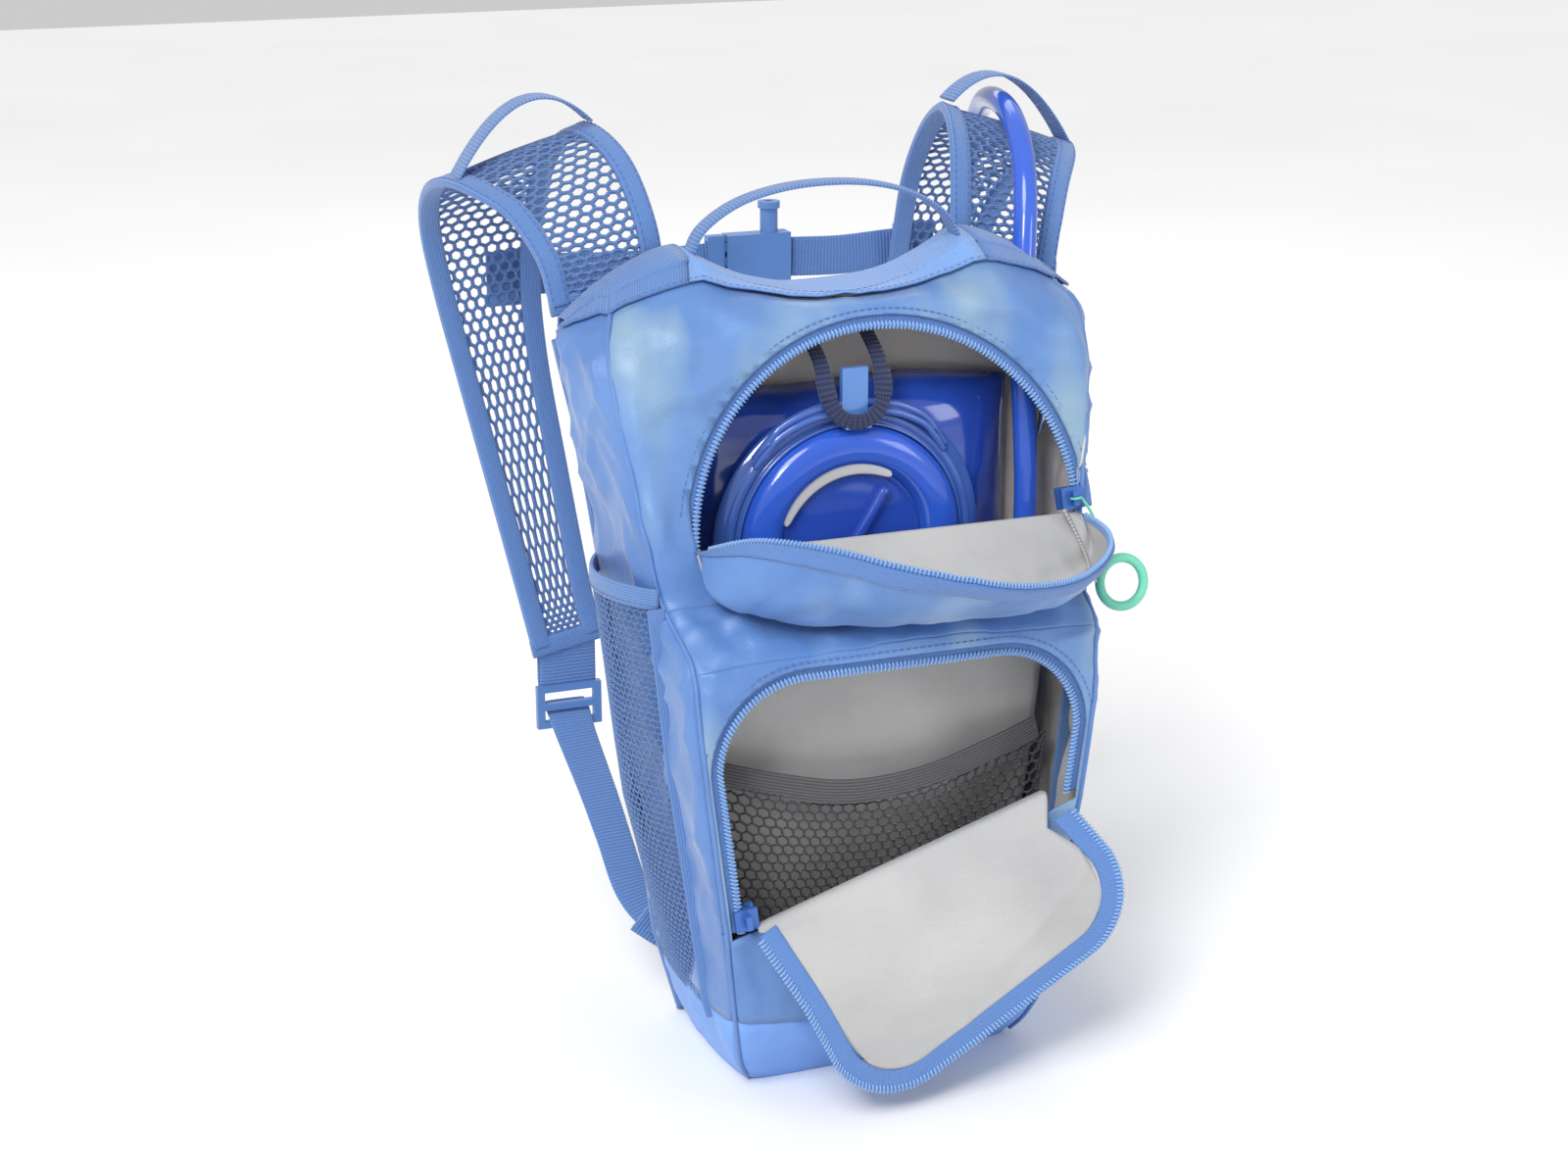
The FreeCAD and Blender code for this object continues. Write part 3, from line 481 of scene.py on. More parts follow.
def along_path(field, path, count):
    """A vector, or one at each point of a path, as count vectors evenly along the path."""
    where, source = np.linspace(0, 1, count), np.linspace(0, 1, len(path))
    field = np.broadcast_to(field, path.shape)
    return np.stack([np.interp(where, source, field[:, k]) for k in range(3)], 1)


def stitches(name, path, normals, pitch=3.0):
    """A row of lockstitch along a path; normals is one vector, or one at each path point."""
    path = np.asarray(path, float)
    places, ways = even(path, pitch)
    normals = along_path(normals, path, len(places))
    return beads(name, places, ways, normals, THREAD, pitch * 0.72, 0.55, 0.5, 5)


def net(name, surface, length, width, pitch, strand, material):
    """Open hexagon netting. surface turns (along, across), each from 0 to 1, into a point."""
    mesh = bmesh.new()
    side = pitch / math.sqrt(3)
    rows, columns = int(length / (1.5 * side)) + 1, int(width / pitch) + 1
    for row in range(rows):
        for column in range(-1, columns + 1):
            centre = np.array([row * 1.5 * side, (column + 0.5 * (row % 2)) * pitch])
            corners = [centre + side * np.array([math.cos(a), math.sin(a)])
                       for a in np.radians([0, 60, 120, 180, 240, 300])]
            inside = np.clip(np.array(corners) / (length, width), 0, 1)
            if np.ptp(inside[:, 1]) * width < pitch * 0.35 or np.ptp(inside[:, 0]) * length < side * 0.6:
                continue
            vertices = [mesh.verts.new(Vector(surface(*corner) * MM)) for corner in inside]
            mesh.faces.new(vertices)
    bmesh.ops.remove_doubles(mesh, verts=mesh.verts, dist=0.12 * pitch * MM)
    data = bpy.data.meshes.new(name)
    mesh.to_mesh(data)
    mesh.free()
    data.materials.append(material)
    made = applied(linked(name, data), "WIREFRAME", thickness=strand * MM, use_replace=True,
                   use_even_offset=False, use_boundary=True)
    smoothed(made.data)
    layer = made.data.uv_layers.new(name="UVMap")
    co = np.array([v.co for v in made.data.vertices])
    for loop in made.data.loops:
        layer.data[loop.index].uv = co[loop.vertex_index][[0, 2]]
    return made


def cut_by(made, outline, low, high, direction, right=(1, 0, 0), up=(0, 0, 1), centre=(0, 0, 0)):
    """Cuts a prism out of a piece, from its outline, (across, up) points about a centre, low to high."""
    across, rise, way = (np.asarray(v, float) for v in (right, up, direction))
    ring = np.array([np.asarray(centre, float) + a * across + b * rise for a, b in outline])
    count = len(ring)
    points = np.concatenate([ring + way * low, ring + way * high])
    faces = [tuple(range(count)), tuple(range(2 * count - 1, count - 1, -1))]
    faces += [(k, k + count, (k + 1) % count + count, (k + 1) % count) for k in range(count)]
    cutter = add_object(made.name + "_cutter", points, faces, [made.data.materials[2]])
    mesh = bmesh.new()
    mesh.from_mesh(cutter.data)
    bmesh.ops.recalc_face_normals(mesh, faces=mesh.faces)
    mesh.to_mesh(cutter.data)
    mesh.free()
    applied(made, "BOOLEAN", operation="DIFFERENCE", object=cutter, solver="MANIFOLD")
    bpy.data.objects.remove(cutter)
    return made


# ---- the bag
# stations up the bag, in millimetres: back edge (half width, height), front corner (half width, height),
# front middle (depth, height)
BAG = [((62, 0), (59, 0), (-76, 0)), ((68, 15), (66, 13), (-85, 13)), ((73, 40), (71, 36), (-93, 31)),
       ((79, 90), (77, 88), (-97, 88)), ((85.5, 140), (83, 138), (-98, 140)),
       ((88.5, 166), (86, 170), (-96.5, 172)), ((90, 178), (86.5, 182), (-94, 187)),
       ((91, 186), (87, 190), (-88, 193)), ((92.5, 197), (89, 200), (-72, 203)),
       ((94, 208), (91, 210), (-64.5, 211)), ((98.5, 238), (95.5, 240), (-58.5, 240)),
       ((103.5, 268), (100, 270), (-51.5, 271)), ((108, 288), (102, 290), (-46, 297)),
       ((111, 300), (101, 301), (-38, 309.5)), ((110, 305), (97, 306), (-28, 312)),
       ((108, 309), (93, 312), (-17, 312))]
BACK_DEPTH = -8.0
CLOTH = 1.2                      # the thickness of the bag's cloth with its lining
PER_SEGMENT = 9
LEFT_SEAM, RIGHT_SEAM = 4 * PER_SEGMENT, 10 * PER_SEGMENT

# where the two mouths are, from their joints and the boxes of their coils
joints = {joint["name"]: joint for joint in frame["joints"]}
ARCH = np.array(joints["upper_flap_fold"]["pos_m"]) / MM
ARCH_OUT = unit(joints["upper_slider_run"]["axis"])
ARCH_UP = np.cross(ARCH_OUT, [1.0, 0, 0])
ARCH_RIGHT = np.array([1.0, 0, 0])
COIL_RADIUS = 1.2
ARCH_RADIUS = np.ptp(np.array(node_box("upper_zip_coil"))[:, 0]) / 2 - COIL_RADIUS
POCKET_FOLD = np.array(joints["pocket_flap_fold"]["pos_m"]) / MM
POCKET_AXIS = unit(joints["pocket_flap_fold"]["axis"])
POCKET_OPEN = -joints["pocket_flap_fold"]["range_deg"][0]
ZIP_PLANE = node_box("pocket_zip_coil")[0][1] + COIL_RADIUS


def arch_point(radius, degrees, out=0.0):
    """A point on the upper mouth's plane, by radius and angle from its right end."""
    angle = np.radians(degrees)
    return (ARCH + np.multiply.outer(radius * np.cos(angle), ARCH_RIGHT)
            + np.multiply.outer(radius * np.sin(angle), ARCH_UP) + out * ARCH_OUT)


ZIP_HALF_WIDTH = -POCKET_FOLD[0]
ZIP_TOP = node_box("pocket_zip_coil")[1][2] - COIL_RADIUS
ZIP_SPREAD, ZIP_CORNER = 0.12, 35.0
ZIP_LEFT, ZIP_RIGHT = POCKET_FOLD[2], POCKET_FOLD[2] + 39.0


def zip_line(outwards, start=0.0):
    """Points (x, z) of the pocket's zip, moved outwards, from its left end over the top to its right end."""
    top, corner = ZIP_TOP + outwards, ZIP_CORNER + outwards
    reach = lambda z: ZIP_HALF_WIDTH + ZIP_SPREAD * (z - ZIP_LEFT) + outwards
    turn = np.linspace(0, math.pi / 2, 14)
    wide = reach(top - corner)
    arc = np.stack([wide - corner + corner * np.cos(turn), top - corner + corner * np.sin(turn)], 1)
    left = [(-reach(ZIP_LEFT + start), ZIP_LEFT + start)] + [(-x, z) for x, z in arc]
    right = [(x, z) for x, z in arc[::-1]] + [(reach(ZIP_RIGHT + start), ZIP_RIGHT + start)]
    line = np.array([(x, 0, z) for x, z in left + right])
    placed, _ = even(line, 1.0)
    return placed[:, [0, 2]]


def section(back, corner, front):
    """The bag's outline at a station: from the left back edge, round the front, to the right back edge."""
    (wide_back, z_back), (wide, z_corner), (depth, z_front) = back, corner, front
    reach = depth + 8 - BACK_DEPTH
    left = [(-wide_back, BACK_DEPTH, z_back)]
    left += [(-(wide_back + (wide - wide_back) * k + 2.2 * math.sin(math.pi * k)), BACK_DEPTH + k * reach,
              z_back + (z_corner - z_back) * k) for k in (0.33, 0.7)]
    left += [(-wide - 0.3, depth + 7.0, z_corner), (-wide + 2.0, depth + 2.2, z_corner),
             (-wide + 8, depth + 0.6, z_corner + (z_front - z_corner) * 0.25),
             (-wide * 0.5, depth, z_corner + (z_front - z_corner) * 0.8)]
    return mirrored(left + [(0, depth, z_front)])


# soft folds of the front cloth, as lines in the front view (x, z to x, z), with their width and height
FOLDS = [(-68, 321, -83, 280, 5, 2.8), (-88, 308, -95, 262, 5, 2.4), (-60, 322, -73, 292, 4, 1.8),
         (-99, 292, -87, 240, 5, 2.4), (-93, 246, -80, 214, 5, 1.8), (-84, 290, -90, 232, 4, 1.6),
         (62, 325, 81, 294, 5, 2.6), (80, 318, 97, 280, 5, 2.4), (93, 300, 99, 248, 5, 2.2),
         (38, 313, 70, 302, 4, 1.8), (97, 264, 91, 222, 5, 1.8), (-28, 311, -54, 303, 4, 1.6),
         (-86, 202, -68, 187, 4, 2.0), (-70, 204, -52, 189, 4, 1.6), (80, 204, 66, 188, 4, 2.0),
         (90, 200, 80, 184, 4, 1.6), (-30, 205, -24, 192, 4, 1.3), (24, 206, 34, 192, 4, 1.3),
         (-83, 176, -77, 112, 4, 1.8), (-79, 124, -73, 60, 4, 1.6), (83, 166, 81, 118, 4, 1.4),
         (-66, 70, -30, 50, 4, 1.2)]


def folds(points):
    """The height of the front cloth's soft folds at each point."""
    flat = points[..., [0, 2]]
    height = np.zeros(flat.shape[:-1])
    for x, z, far_x, far_z, width, rise in FOLDS:
        start, run = np.array([x, z], float), np.array([far_x - x, far_z - z], float)
        along = np.clip(((flat - start) @ run) / (run @ run), 0, 1)
        away = np.linalg.norm(flat - start - along[..., None] * run, axis=-1)
        height += rise * np.exp(-((away / width) ** 2)) * (0.35 + 0.65 * np.sin(math.pi * along))
    return height * (points[..., 1] < -20)


def crown_height(x):
    """The height of the bag's top edge at a place across it."""
    x = np.abs(x)
    return np.where(x < 60, 311 + 20 * (x / 60) ** 2, 331 - 28 * (np.clip(x - 60, 0, 51) / 51) ** 1.7)


def bag_surface():
    """The bag's skin as rows up the bag, each of points round it, with creases in the cloth."""
    stations = np.array([smooth(section(*station), 14 * PER_SEGMENT + 1) for station in BAG])
    rows = smooth(stations, 10 * (len(BAG) - 1) + 1)
    # the last rows climb to the curve of the neck and the yoke
    lift = np.clip((np.arange(len(rows)) - 118) / (len(rows) - 119), 0, 1)[:, None] ** 1.6
    rows[..., 2] += lift * (crown_height(rows[..., 0]) - rows[..., 2]) * (rows[..., 1] < BACK_DEPTH + 30)
    normals = row_normals(rows)
    # broad swells, small puckers, long slanted creases and short upright ones
    slant = np.stack([rows[..., 0] + rows[..., 2] * 0.6, rows[..., 1], rows[..., 2] * 0.35], -1)
    crease = (1.6 * rough(rows, 0.021, 3) + 0.9 * rough(rows * (1, 1, 0.6), 0.055, 9)
              + 0.35 * rough(rows, 0.13, 5) + 2.6 * ridges(slant, 0.022, 12)
              + 1.6 * ridges(rows * (0.7, 1, 1.2), 0.038, 7)
              + 1.3 * ridges(rows * (1.4, 1, 0.5), 0.05, 25) + folds(rows))
    # the cloth is calmer near the base, the top edge and the two side seams
    calm = np.clip(rows[..., 2] / 60, 0.15, 1)
    calm *= np.clip((len(rows) - 1 - np.arange(len(rows))) / 26, 0.12, 1)[:, None]
    columns = np.arange(rows.shape[1])
    seams = np.minimum(np.abs(columns - LEFT_SEAM), np.abs(columns - RIGHT_SEAM))
    calm *= np.clip(seams / PER_SEGMENT, 0.25, 1)
    rows = rows + normals * (crease * calm)[..., None]
    # and it is drawn flat beside the two zips
    front = rows[:, LEFT_SEAM:RIGHT_SEAM + 1]
    arm = front - ARCH
    radius = np.hypot(arm @ ARCH_RIGHT, arm @ ARCH_UP)
    held = np.exp(-((radius - ARCH_RADIUS - 4) / 9) ** 2)
    held = np.where((arm @ ARCH_UP < 2) & (radius < ARCH_RADIUS + 4), 1, held)
    held = held * np.clip((front[..., 2] - 206) / 6, 0, 1)
    front += (held * (2.0 - arm @ ARCH_OUT))[..., None] * ARCH_OUT
    line = zip_line(3.0)
    reach = np.sqrt(((front[:, :, None, [0, 2]] - line[None, None]) ** 2).sum(-1)).min(-1)
    held = np.exp(-(reach / 8) ** 2) * (front[..., 1] < -84)
    front[..., 1] += held * (ZIP_PLANE - 2.2 - front[..., 1])
    return rows


SKIN = bag_surface()
SEAM_ROW, POCKET_ROW, FOLD_ROW = 20, 63, 84      # rows at the base's seam, the pocket's edge and the fold


def keep(made, slot, *nodes, body="pack"):
    """Rides a finished piece on a body and hides the CAD nodes that it stands for; slot is not used."""
    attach(made, body)
    if nodes:
        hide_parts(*nodes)
    return made


bottom = cloth("bottom_panel_cloth", SKIN[:SEAM_ROW + 1], BOTTOM, LINING, 1.6, offset=-1)
floor_rows = np.linspace(0.0, 1.0, 16)[:, None, None]
rim_points = SKIN[0][::3]
flat_back = np.stack([np.linspace(-62, 62, len(rim_points)), np.full(len(rim_points), BACK_DEPTH),
                      np.zeros(len(rim_points))], 1)
base = cloth("base_cloth", flat_back[None] * (1 - floor_rows) + (rim_points * (1, 1, 0))[None] * floor_rows
             + UP * 0.8, BOTTOM, LINING, 0.8, offset=0)
keep(joined("bottom_panel_cloth", [bottom, base]), "bottom_fabric", "bottom_panel")
for name, columns in (("left", slice(0, LEFT_SEAM + 1)), ("right", slice(RIGHT_SEAM, None))):
    keep(cloth(f"side_cloth_{name}", SKIN[SEAM_ROW:, columns], SIDE, WARM_LINING, CLOTH), "body_fabric",
         f"side_panel_{name}")

# ---- the two mouths
MOUTH_EDGE = 4.6                 # how far the cloth's edge stays from the coil; zip tape fills the gap
upper = cloth("front_upper_cloth", SKIN[FOLD_ROW:, LEFT_SEAM:RIGHT_SEAM + 1], PANEL, WARM_LINING, CLOTH)
angles = np.radians(np.linspace(-2, 182, 90))
mouth_radius = ARCH_RADIUS + MOUTH_EDGE * np.clip(np.sin(angles) / math.sin(math.radians(14)), -0.6, 1)
arch_outline = np.stack([mouth_radius * np.cos(angles), mouth_radius * np.sin(angles)], 1)
cut_by(upper, arch_outline, low=-22, high=22, direction=ARCH_OUT, right=ARCH_RIGHT, up=ARCH_UP, centre=ARCH)
keep(upper, "panel_fabric", "front_upper_panel")
mouth = zip_line(MOUTH_EDGE, -3.0)
for name, low, high, node in (("pocket_front_cloth", SEAM_ROW, POCKET_ROW, "pocket_front_panel"),
                              ("pocket_top_cloth", POCKET_ROW, FOLD_ROW, "pocket_top_panel")):
    face = cloth(name, SKIN[low:high + 1, LEFT_SEAM:RIGHT_SEAM + 1], PANEL, LINING, CLOTH)
    keep(cut_by(face, mouth, low=60, high=130, direction=[0, -1, 0]), "body_fabric", node)


def coil_row(name, path, across, normal):
    """A zip's coil: rounded teeth across its line, on a core."""
    places, _ = even(path, 1.65)
    ways, normals = (along_path(field, path, len(places)) for field in (across, normal))
    return joined(name, [beads(name, places, ways, normals, TEETH, 3.6, 1.1, 2.3),
                         tube(name + "_core", path, 1.0, TAPE, 8)])


def tape_strip(name, inner, outer):
    """Zip tape between two lines of points."""
    grid = np.stack([inner * (1 - k) + outer * k for k in np.linspace(0, 1, 7)], 1)
    return cloth(name, grid, TAPE, TAPE, 0.7, offset=0)


sweep = np.linspace(1, 179, 150)
arch_lines = {radius: arch_point(ARCH_RADIUS + radius, sweep) for radius in (0.6, 8.0)}
arch_tape = tape_strip("upper_zip_tape_cloth", arch_lines[0.6], arch_lines[8.0] - ARCH_OUT * 0.6)
keep(arch_tape, "zip_tape", "upper_zip_tape")
radial = arch_lines[8.0] - arch_lines[0.6]
arch_seam = arch_point(ARCH_RADIUS + MOUTH_EDGE + 2.6, sweep[8:-8], 2.2)
keep(stitches("arch_stitches_0", arch_seam, ARCH_OUT), "panel_fabric")
arch_coil = coil_row("upper_zip_teeth", arch_point(ARCH_RADIUS + 0.4, sweep, 0.8), radial, ARCH_OUT)
keep(arch_coil, "zip_coil", "upper_zip_coil")


def pocket_points(outwards, depth=0.0, start=0.0):
    """The pocket's zip line as points in space on the zip's plane."""
    flat = zip_line(outwards, start)
    return np.stack([flat[:, 0], np.full(len(flat), ZIP_PLANE - depth), flat[:, 1]], 1)


def same_count(first, second):
    """Two lines resampled to the same number of points."""
    count = max(len(first), len(second))
    return along_path(first, first, count), along_path(second, second, count)


inner, outer = same_count(pocket_points(0.6), pocket_points(8.0, -0.8))
keep(tape_strip("pocket_zip_tape_cloth", inner, outer), "zip_tape", "pocket_zip_tape")
centre_line, _ = same_count(pocket_points(0.4, 0.8), inner)
keep(coil_row("pocket_zip_teeth", centre_line, outer - inner, [0, -1, 0]), "zip_coil", "pocket_zip_coil")

keep(stitches("pocket_stitches_0", pocket_points(MOUTH_EDGE + 2.6, 2.4), [0, -1, 0]), "body_fabric")

# ---- the upper flap
# the flap's free edge: angle from its right end, share of the mouth's radius, height over its plane
FLAP_EDGE = np.array([(0, 1.06, 0), (18, 1.13, -5), (42, 1.06, -10), (66, 1.0, -9), (90, 0.98, -2),
                      (112, 0.95, 5), (134, 0.92, 10), (158, 0.94, 9), (180, 1.05, 0)], float)
FLAP_RADIUS = ARCH_RADIUS - 4.0
FLAP_LIFT = 3.0


def flap_sheet():
    """The upper flap as columns from its sewn line, along the pocket's roof, up to its free edge."""
    count = 97
    edge = smooth(FLAP_EDGE, count)[::-1]
    angle = np.radians(edge[:, 0])
    reach = FLAP_RADIUS * edge[:, 1] * np.sin(angle)
    rim = np.stack([ARCH[0] + FLAP_RADIUS * edge[:, 1] * np.cos(angle), ARCH[1] - reach,
                    ARCH[2] + reach * math.sin(math.radians(FLAP_LIFT)) + edge[:, 2]], 1)
    share = (1 - np.cos(math.pi - angle)) / 2
    full = np.clip(np.sin(angle), 0, 1) ** 0.55
    x = ARCH[0] + FLAP_RADIUS * 1.05 * np.cos(angle)
    sewn = np.stack([x, ARCH[1] - 1.6 + 0 * x, ARCH[2] + 0.4 + 0 * x], 1)
    over = np.stack([x, ARCH[1] - 4.5 - 7.0 * full, ARCH[2] - 9.5 * full], 1)
    fall = 0.5 + 26.0 * full + 2.0 * (share - 0.5)
    crease = np.stack([x * 1.02, ARCH[1] - 4 - 27 * full, ARCH[2] - fall], 1)
    wall = rim * 0.42 + crease * 0.58 + np.stack([0 * x, -5.0 * full, -4.0 * full], 1)
    upper_wall = rim * 0.82 + crease * 0.18 + np.stack([0 * x, -2.0 * full, -2.5 * full], 1)
    top = (over + crease) / 2 + UP * 1.2
    columns = smooth(np.stack([sewn, over, top, crease, wall, upper_wall, rim]), 64)
    wrinkle = (1.2 * rough(columns, 0.03, 21) + 0.6 * rough(columns * (1.6, 1, 1), 0.075, 4)
               + 0.9 * ridges(columns * (1.5, 0.6, 1), 0.03, 17))
    fade = np.sin(np.linspace(0.05, math.pi - 0.35, 64))[:, None]
    return columns - row_normals(columns) * (wrinkle * fade)[..., None]


FLAP_SHEET = flap_sheet()


def bend_with_flap(made, slot, *nodes):
    """Bakes a piece's placement into its mesh and hides the CAD nodes that it stands for."""
    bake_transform(made)
    if nodes:
        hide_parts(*nodes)


flap_rim, under_rim = FLAP_SHEET[-1], FLAP_SHEET[-9]
flap_cloth = cloth("upper_flap_cloth", FLAP_SHEET[:-7], FLAP, LINING, 1.3, offset=1)
bend_with_flap(flap_cloth, "panel_fabric", "upper_flap")
outside = row_normals(FLAP_SHEET)
rim_strip = FLAP_SHEET[-10:] + outside[-10:] * 0.2
rim_tape = cloth("upper_flap_tape_cloth", rim_strip, TAPE, TAPE, 1.9, offset=1)
bend_with_flap(rim_tape, "zip_tape", "upper_flap_tape")
sewn_lines = []
for row, column in ((-11, slice(4, -4)), (slice(24, -11), 13)):
    away = outside[row, column]
    sewn_lines.append(stitches("flap_seam", FLAP_SHEET[row, column] + away, away))
bend_with_flap(joined("upper_flap_stitches", sewn_lines), "panel_fabric")
towards_rim = (flap_rim - under_rim)[3:-3]
coil_path = flap_rim[3:-3] + towards_rim * 0.12
rim_teeth = coil_row("upper_flap_teeth", coil_path, towards_rim, -outside[-1][3:-3])
bend_with_flap(rim_teeth, "zip_coil", "upper_flap_coil")

stay_route = [(84.5, -63.5, 226), (87, -68, 219), (88.5, -74, 212), (88, -81, 207), (86, -87, 205)]
bend_with_flap(ribbon("flap_stay", stay_route, [-0.55, -0.75, 0.3], 8.5, 1.3, STAY), "webbing")

# ---- the pocket flap
def pocket_flap_sheet(outwards, low):
    """The pocket flap as it lies when the pocket is closed, from its fold up to its free edge."""
    line = zip_line(outwards)
    ceiling = line[:, 1].max()
    columns = []
    for share in np.linspace(-1, 1, 81):
        foot = ZIP_LEFT + low + (ZIP_RIGHT - ZIP_LEFT) * (share + 1) / 2
        wide = ZIP_HALF_WIDTH + outwards + ZIP_SPREAD * (ceiling - ZIP_LEFT) * 0.62
        corner = ZIP_CORNER + outwards
        into = max(0.0, abs(share) * wide - (wide - corner)) / corner
        head = ceiling - corner * (1 - math.sqrt(max(0.0, 1 - into**2)))
        heights = np.linspace(0, 1, 50)[:, None]
        narrow = (ZIP_HALF_WIDTH + outwards) / wide
        xs = share * wide * (narrow + (1 - narrow) * np.clip(heights * 1.6, 0, 1))
        columns.append(np.concatenate([xs, np.full_like(xs, ZIP_PLANE), foot + (head - foot) * heights], 1))
    return np.stack(columns, 1)


def opened(points):
    """Points of the closed pocket flap, opened to rest, with the slack of the cloth."""
    height = points[..., 2] - (ZIP_LEFT + (ZIP_RIGHT - ZIP_LEFT) * (points[..., 0] + ZIP_HALF_WIDTH)
                               / (2 * ZIP_HALF_WIDTH))
    sag = 6.5 * np.sin(np.clip(height / 95, 0, 1) * math.pi) + 1.2 * rough(points, 0.024, 14)
    sag += 0.8 * ridges(points * (0.7, 1, 1), 0.03, 5)
    curl = 3.0 * np.clip((height - 60) / 50, 0, 1) ** 2
    narrower = points[..., 0] * (1 - 0.03 * np.clip(height / 40, 0, 1))
    shifted = np.stack([narrower, points[..., 1] + sag - curl, points[..., 2] - 0.075 * height], -1)
    return turned(shifted, POCKET_FOLD, POCKET_AXIS, POCKET_OPEN)


fold_line = pocket_flap_sheet(-6.0, 0)[0]
flap_rows = opened(pocket_flap_sheet(-12.0, 3.0))
hem = smooth(np.stack([fold_line + (0, 6.0, -7.0), fold_line + (0, 3.0, 0.0), fold_line + (0, -2.0, 2.6),
                       fold_line + (0, -5.8, 1.2), flap_rows[3]]), 22)
flap_grid = np.concatenate([hem[:-1], flap_rows[3:]])
flap_cloth = cloth("pocket_flap_cloth", flap_grid, FLAP, LINING, 1.4, offset=1)
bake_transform(flap_cloth)
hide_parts("pocket_flap")
tape_in, tape_out = same_count(pocket_points(-12.6, start=4), pocket_points(-4.4, start=4))
teeth_line, tape_edge = same_count(pocket_points(-4.0, start=6), pocket_points(-3.0, start=6))
keep(tape_strip("pocket_flap_tape_cloth", opened(tape_in), opened(tape_out)), "zip_tape", "pocket_flap_tape",
     body="pocket_flap_body")
face_out = turned(POCKET_FOLD + np.array([0, -1.0, 0]), POCKET_FOLD, POCKET_AXIS, POCKET_OPEN) - POCKET_FOLD
teeth_path = opened(teeth_line)
keep(coil_row("pocket_flap_teeth", teeth_path, opened(tape_edge) - teeth_path, face_out), "zip_coil",
     "pocket_flap_coil", body="pocket_flap_body")

# ---- inside the pocket
divider = [[(x, -59.5 - 0.8 * math.sin(x / 9 + z / 23), z)
            for x in np.linspace(-(60 + 0.11 * z), 60 + 0.11 * z, 40)] for z in np.linspace(4, 200, 50)]
keep(cloth("pocket_divider_cloth", np.array(divider), LINING, WARM_LINING, 1.0, offset=0), "lining",
     "pocket_divider")
NET_EDGE = smooth([(-76, 0, 137), (-44, 0, 127.5), (-15, 0, 121.5), (16, 0, 122.5), (46, 0, 129),
                   (77, 0, 137)], 200)


def pocket_net(along, across):
    """The inner pocket's dark net: along is up it, across is from left to right."""
    side = 2 * across - 1
    top = np.interp(side * 76, NET_EDGE[:, 0], NET_EDGE[:, 2]) - 4
    z = 44 + (top - 44) * along
    x = side * (66 + 10 * along)
    return np.array([x, -68.2 - 7.0 * along * (1 - side**2) - 1.5 * math.sin(side * 7), z])


keep(net("inner_net", pocket_net, 84, 146, 4.8, 1.4, DARK_NET), "dark_mesh", "inner_mesh_pocket")
band = NET_EDGE[::8].copy()
band[:, 1] = -68.6 - 7.2 * (1 - (band[:, 0] / 77) ** 2)
keep(ribbon("inner_net_elastic", band, UP, 10.5, 2.2, ELASTIC), "elastic", "inner_pocket_elastic")

# ---- the reservoir
def bladder_grid(front):
    """One face of the reservoir's soft bag, from its foot to its sealed top edge."""
    u, v = np.meshgrid(np.linspace(-1, 1, 70), np.linspace(0, 1, 110))
    x = 75.0 * u * (1 - 0.05 * (1 - v) ** 6) + 5.0
    z = 25 + 252 * v - 3.0 * u * v**4 + 2.0 * np.sin(u * 4) * v**8
    full = (1 - np.abs(u) ** 5) * (1 - np.clip(np.abs(2 * v - 1), 0, 1) ** 14) ** 0.8
    grid = np.stack([x, 0 * x, z], -1)
    folds = 1.4 * rough(grid, 0.03, 31) + 0.6 * rough(grid * (0.5, 1, 1.3), 0.09, 8)
    depth = -14.0 - (19.5 + folds * 1.4) * full if front else -13.2 + 1.2 * full
    grid[..., 1] = depth
    return grid


films = [cloth("film_front", bladder_grid(True), FILM, FILM, 0.6),
         cloth("film_back", bladder_grid(False), FILM, FILM, 0.6, offset=1)]
keep(joined("reservoir_bag", films), "reservoir_film", "reservoir_bladder")
CAP_CENTRE = np.array(joints["cap_turn"]["pos_m"]) / MM
CAP_CENTRE[1] = node_box("reservoir_cap")[1][1]
FRONT = np.array([0, -1.0, 0])
collar = [(44.4, -2.6), (57, -3.0), (58, -1.8), (57.4, -0.4), (54.5, 0.0), (53.6, 1.0), (52.4, 1.8),
          (50.8, 1.9), (50, 1.0), (49.2, 0.4), (49.2, 2.6), (48.6, 3.4), (47.9, 3.2), (47.9, -0.4),
          (44.4, -0.4), (44.4, -2.6)]
keep(lathe("collar_ring", collar, CAP_CENTRE, FRONT, CLEAR), "collar_clear", "reservoir_collar")
ring = [(30.0, 0.2), (47.2, 0.2), (47.4, 3.0), (46.4, 5.4), (44.4, 7.0), (41.6, 8.0), (38.6, 8.4),
        (35.6, 8.2), (33.4, 7.2), (31.8, 5.4), (30.4, 3.8), (30.0, 0.2)]
disc = [(0.01, 3.6), (13, 3.5), (22, 3.1), (27, 2.6), (29.4, 2.9), (30.2, 3.6), (30.2, 1.0), (0.01, 1.0)]
cap_parts = [lathe("cap_ring", ring, CAP_CENTRE, FRONT, CAP),
             lathe("cap_disc", disc, CAP_CENTRE, FRONT, FILM)]
turn = np.radians(np.linspace(58, 162, 60))
thick = 2.6 * np.sin(np.linspace(0, math.pi, 60)) ** 0.35 + 0.5
crescent = CAP_CENTRE + np.stack([30.8 * np.cos(turn), 0 * turn - 5.2, 30.8 * np.sin(turn)], 1)
grip_line = CAP_CENTRE + np.array([(-14, -4.6, -21), (0, -5.6, 0), (14, -4.6, 21)])
grip = ribbon("cap_grip", grip_line, [0.82, 0, -0.57], 4.2, 5.0, FILM)
pale = ribbon("cap_insert", crescent, unit(crescent - CAP_CENTRE - FRONT * 5), thick * 2, 1.6, PALE)
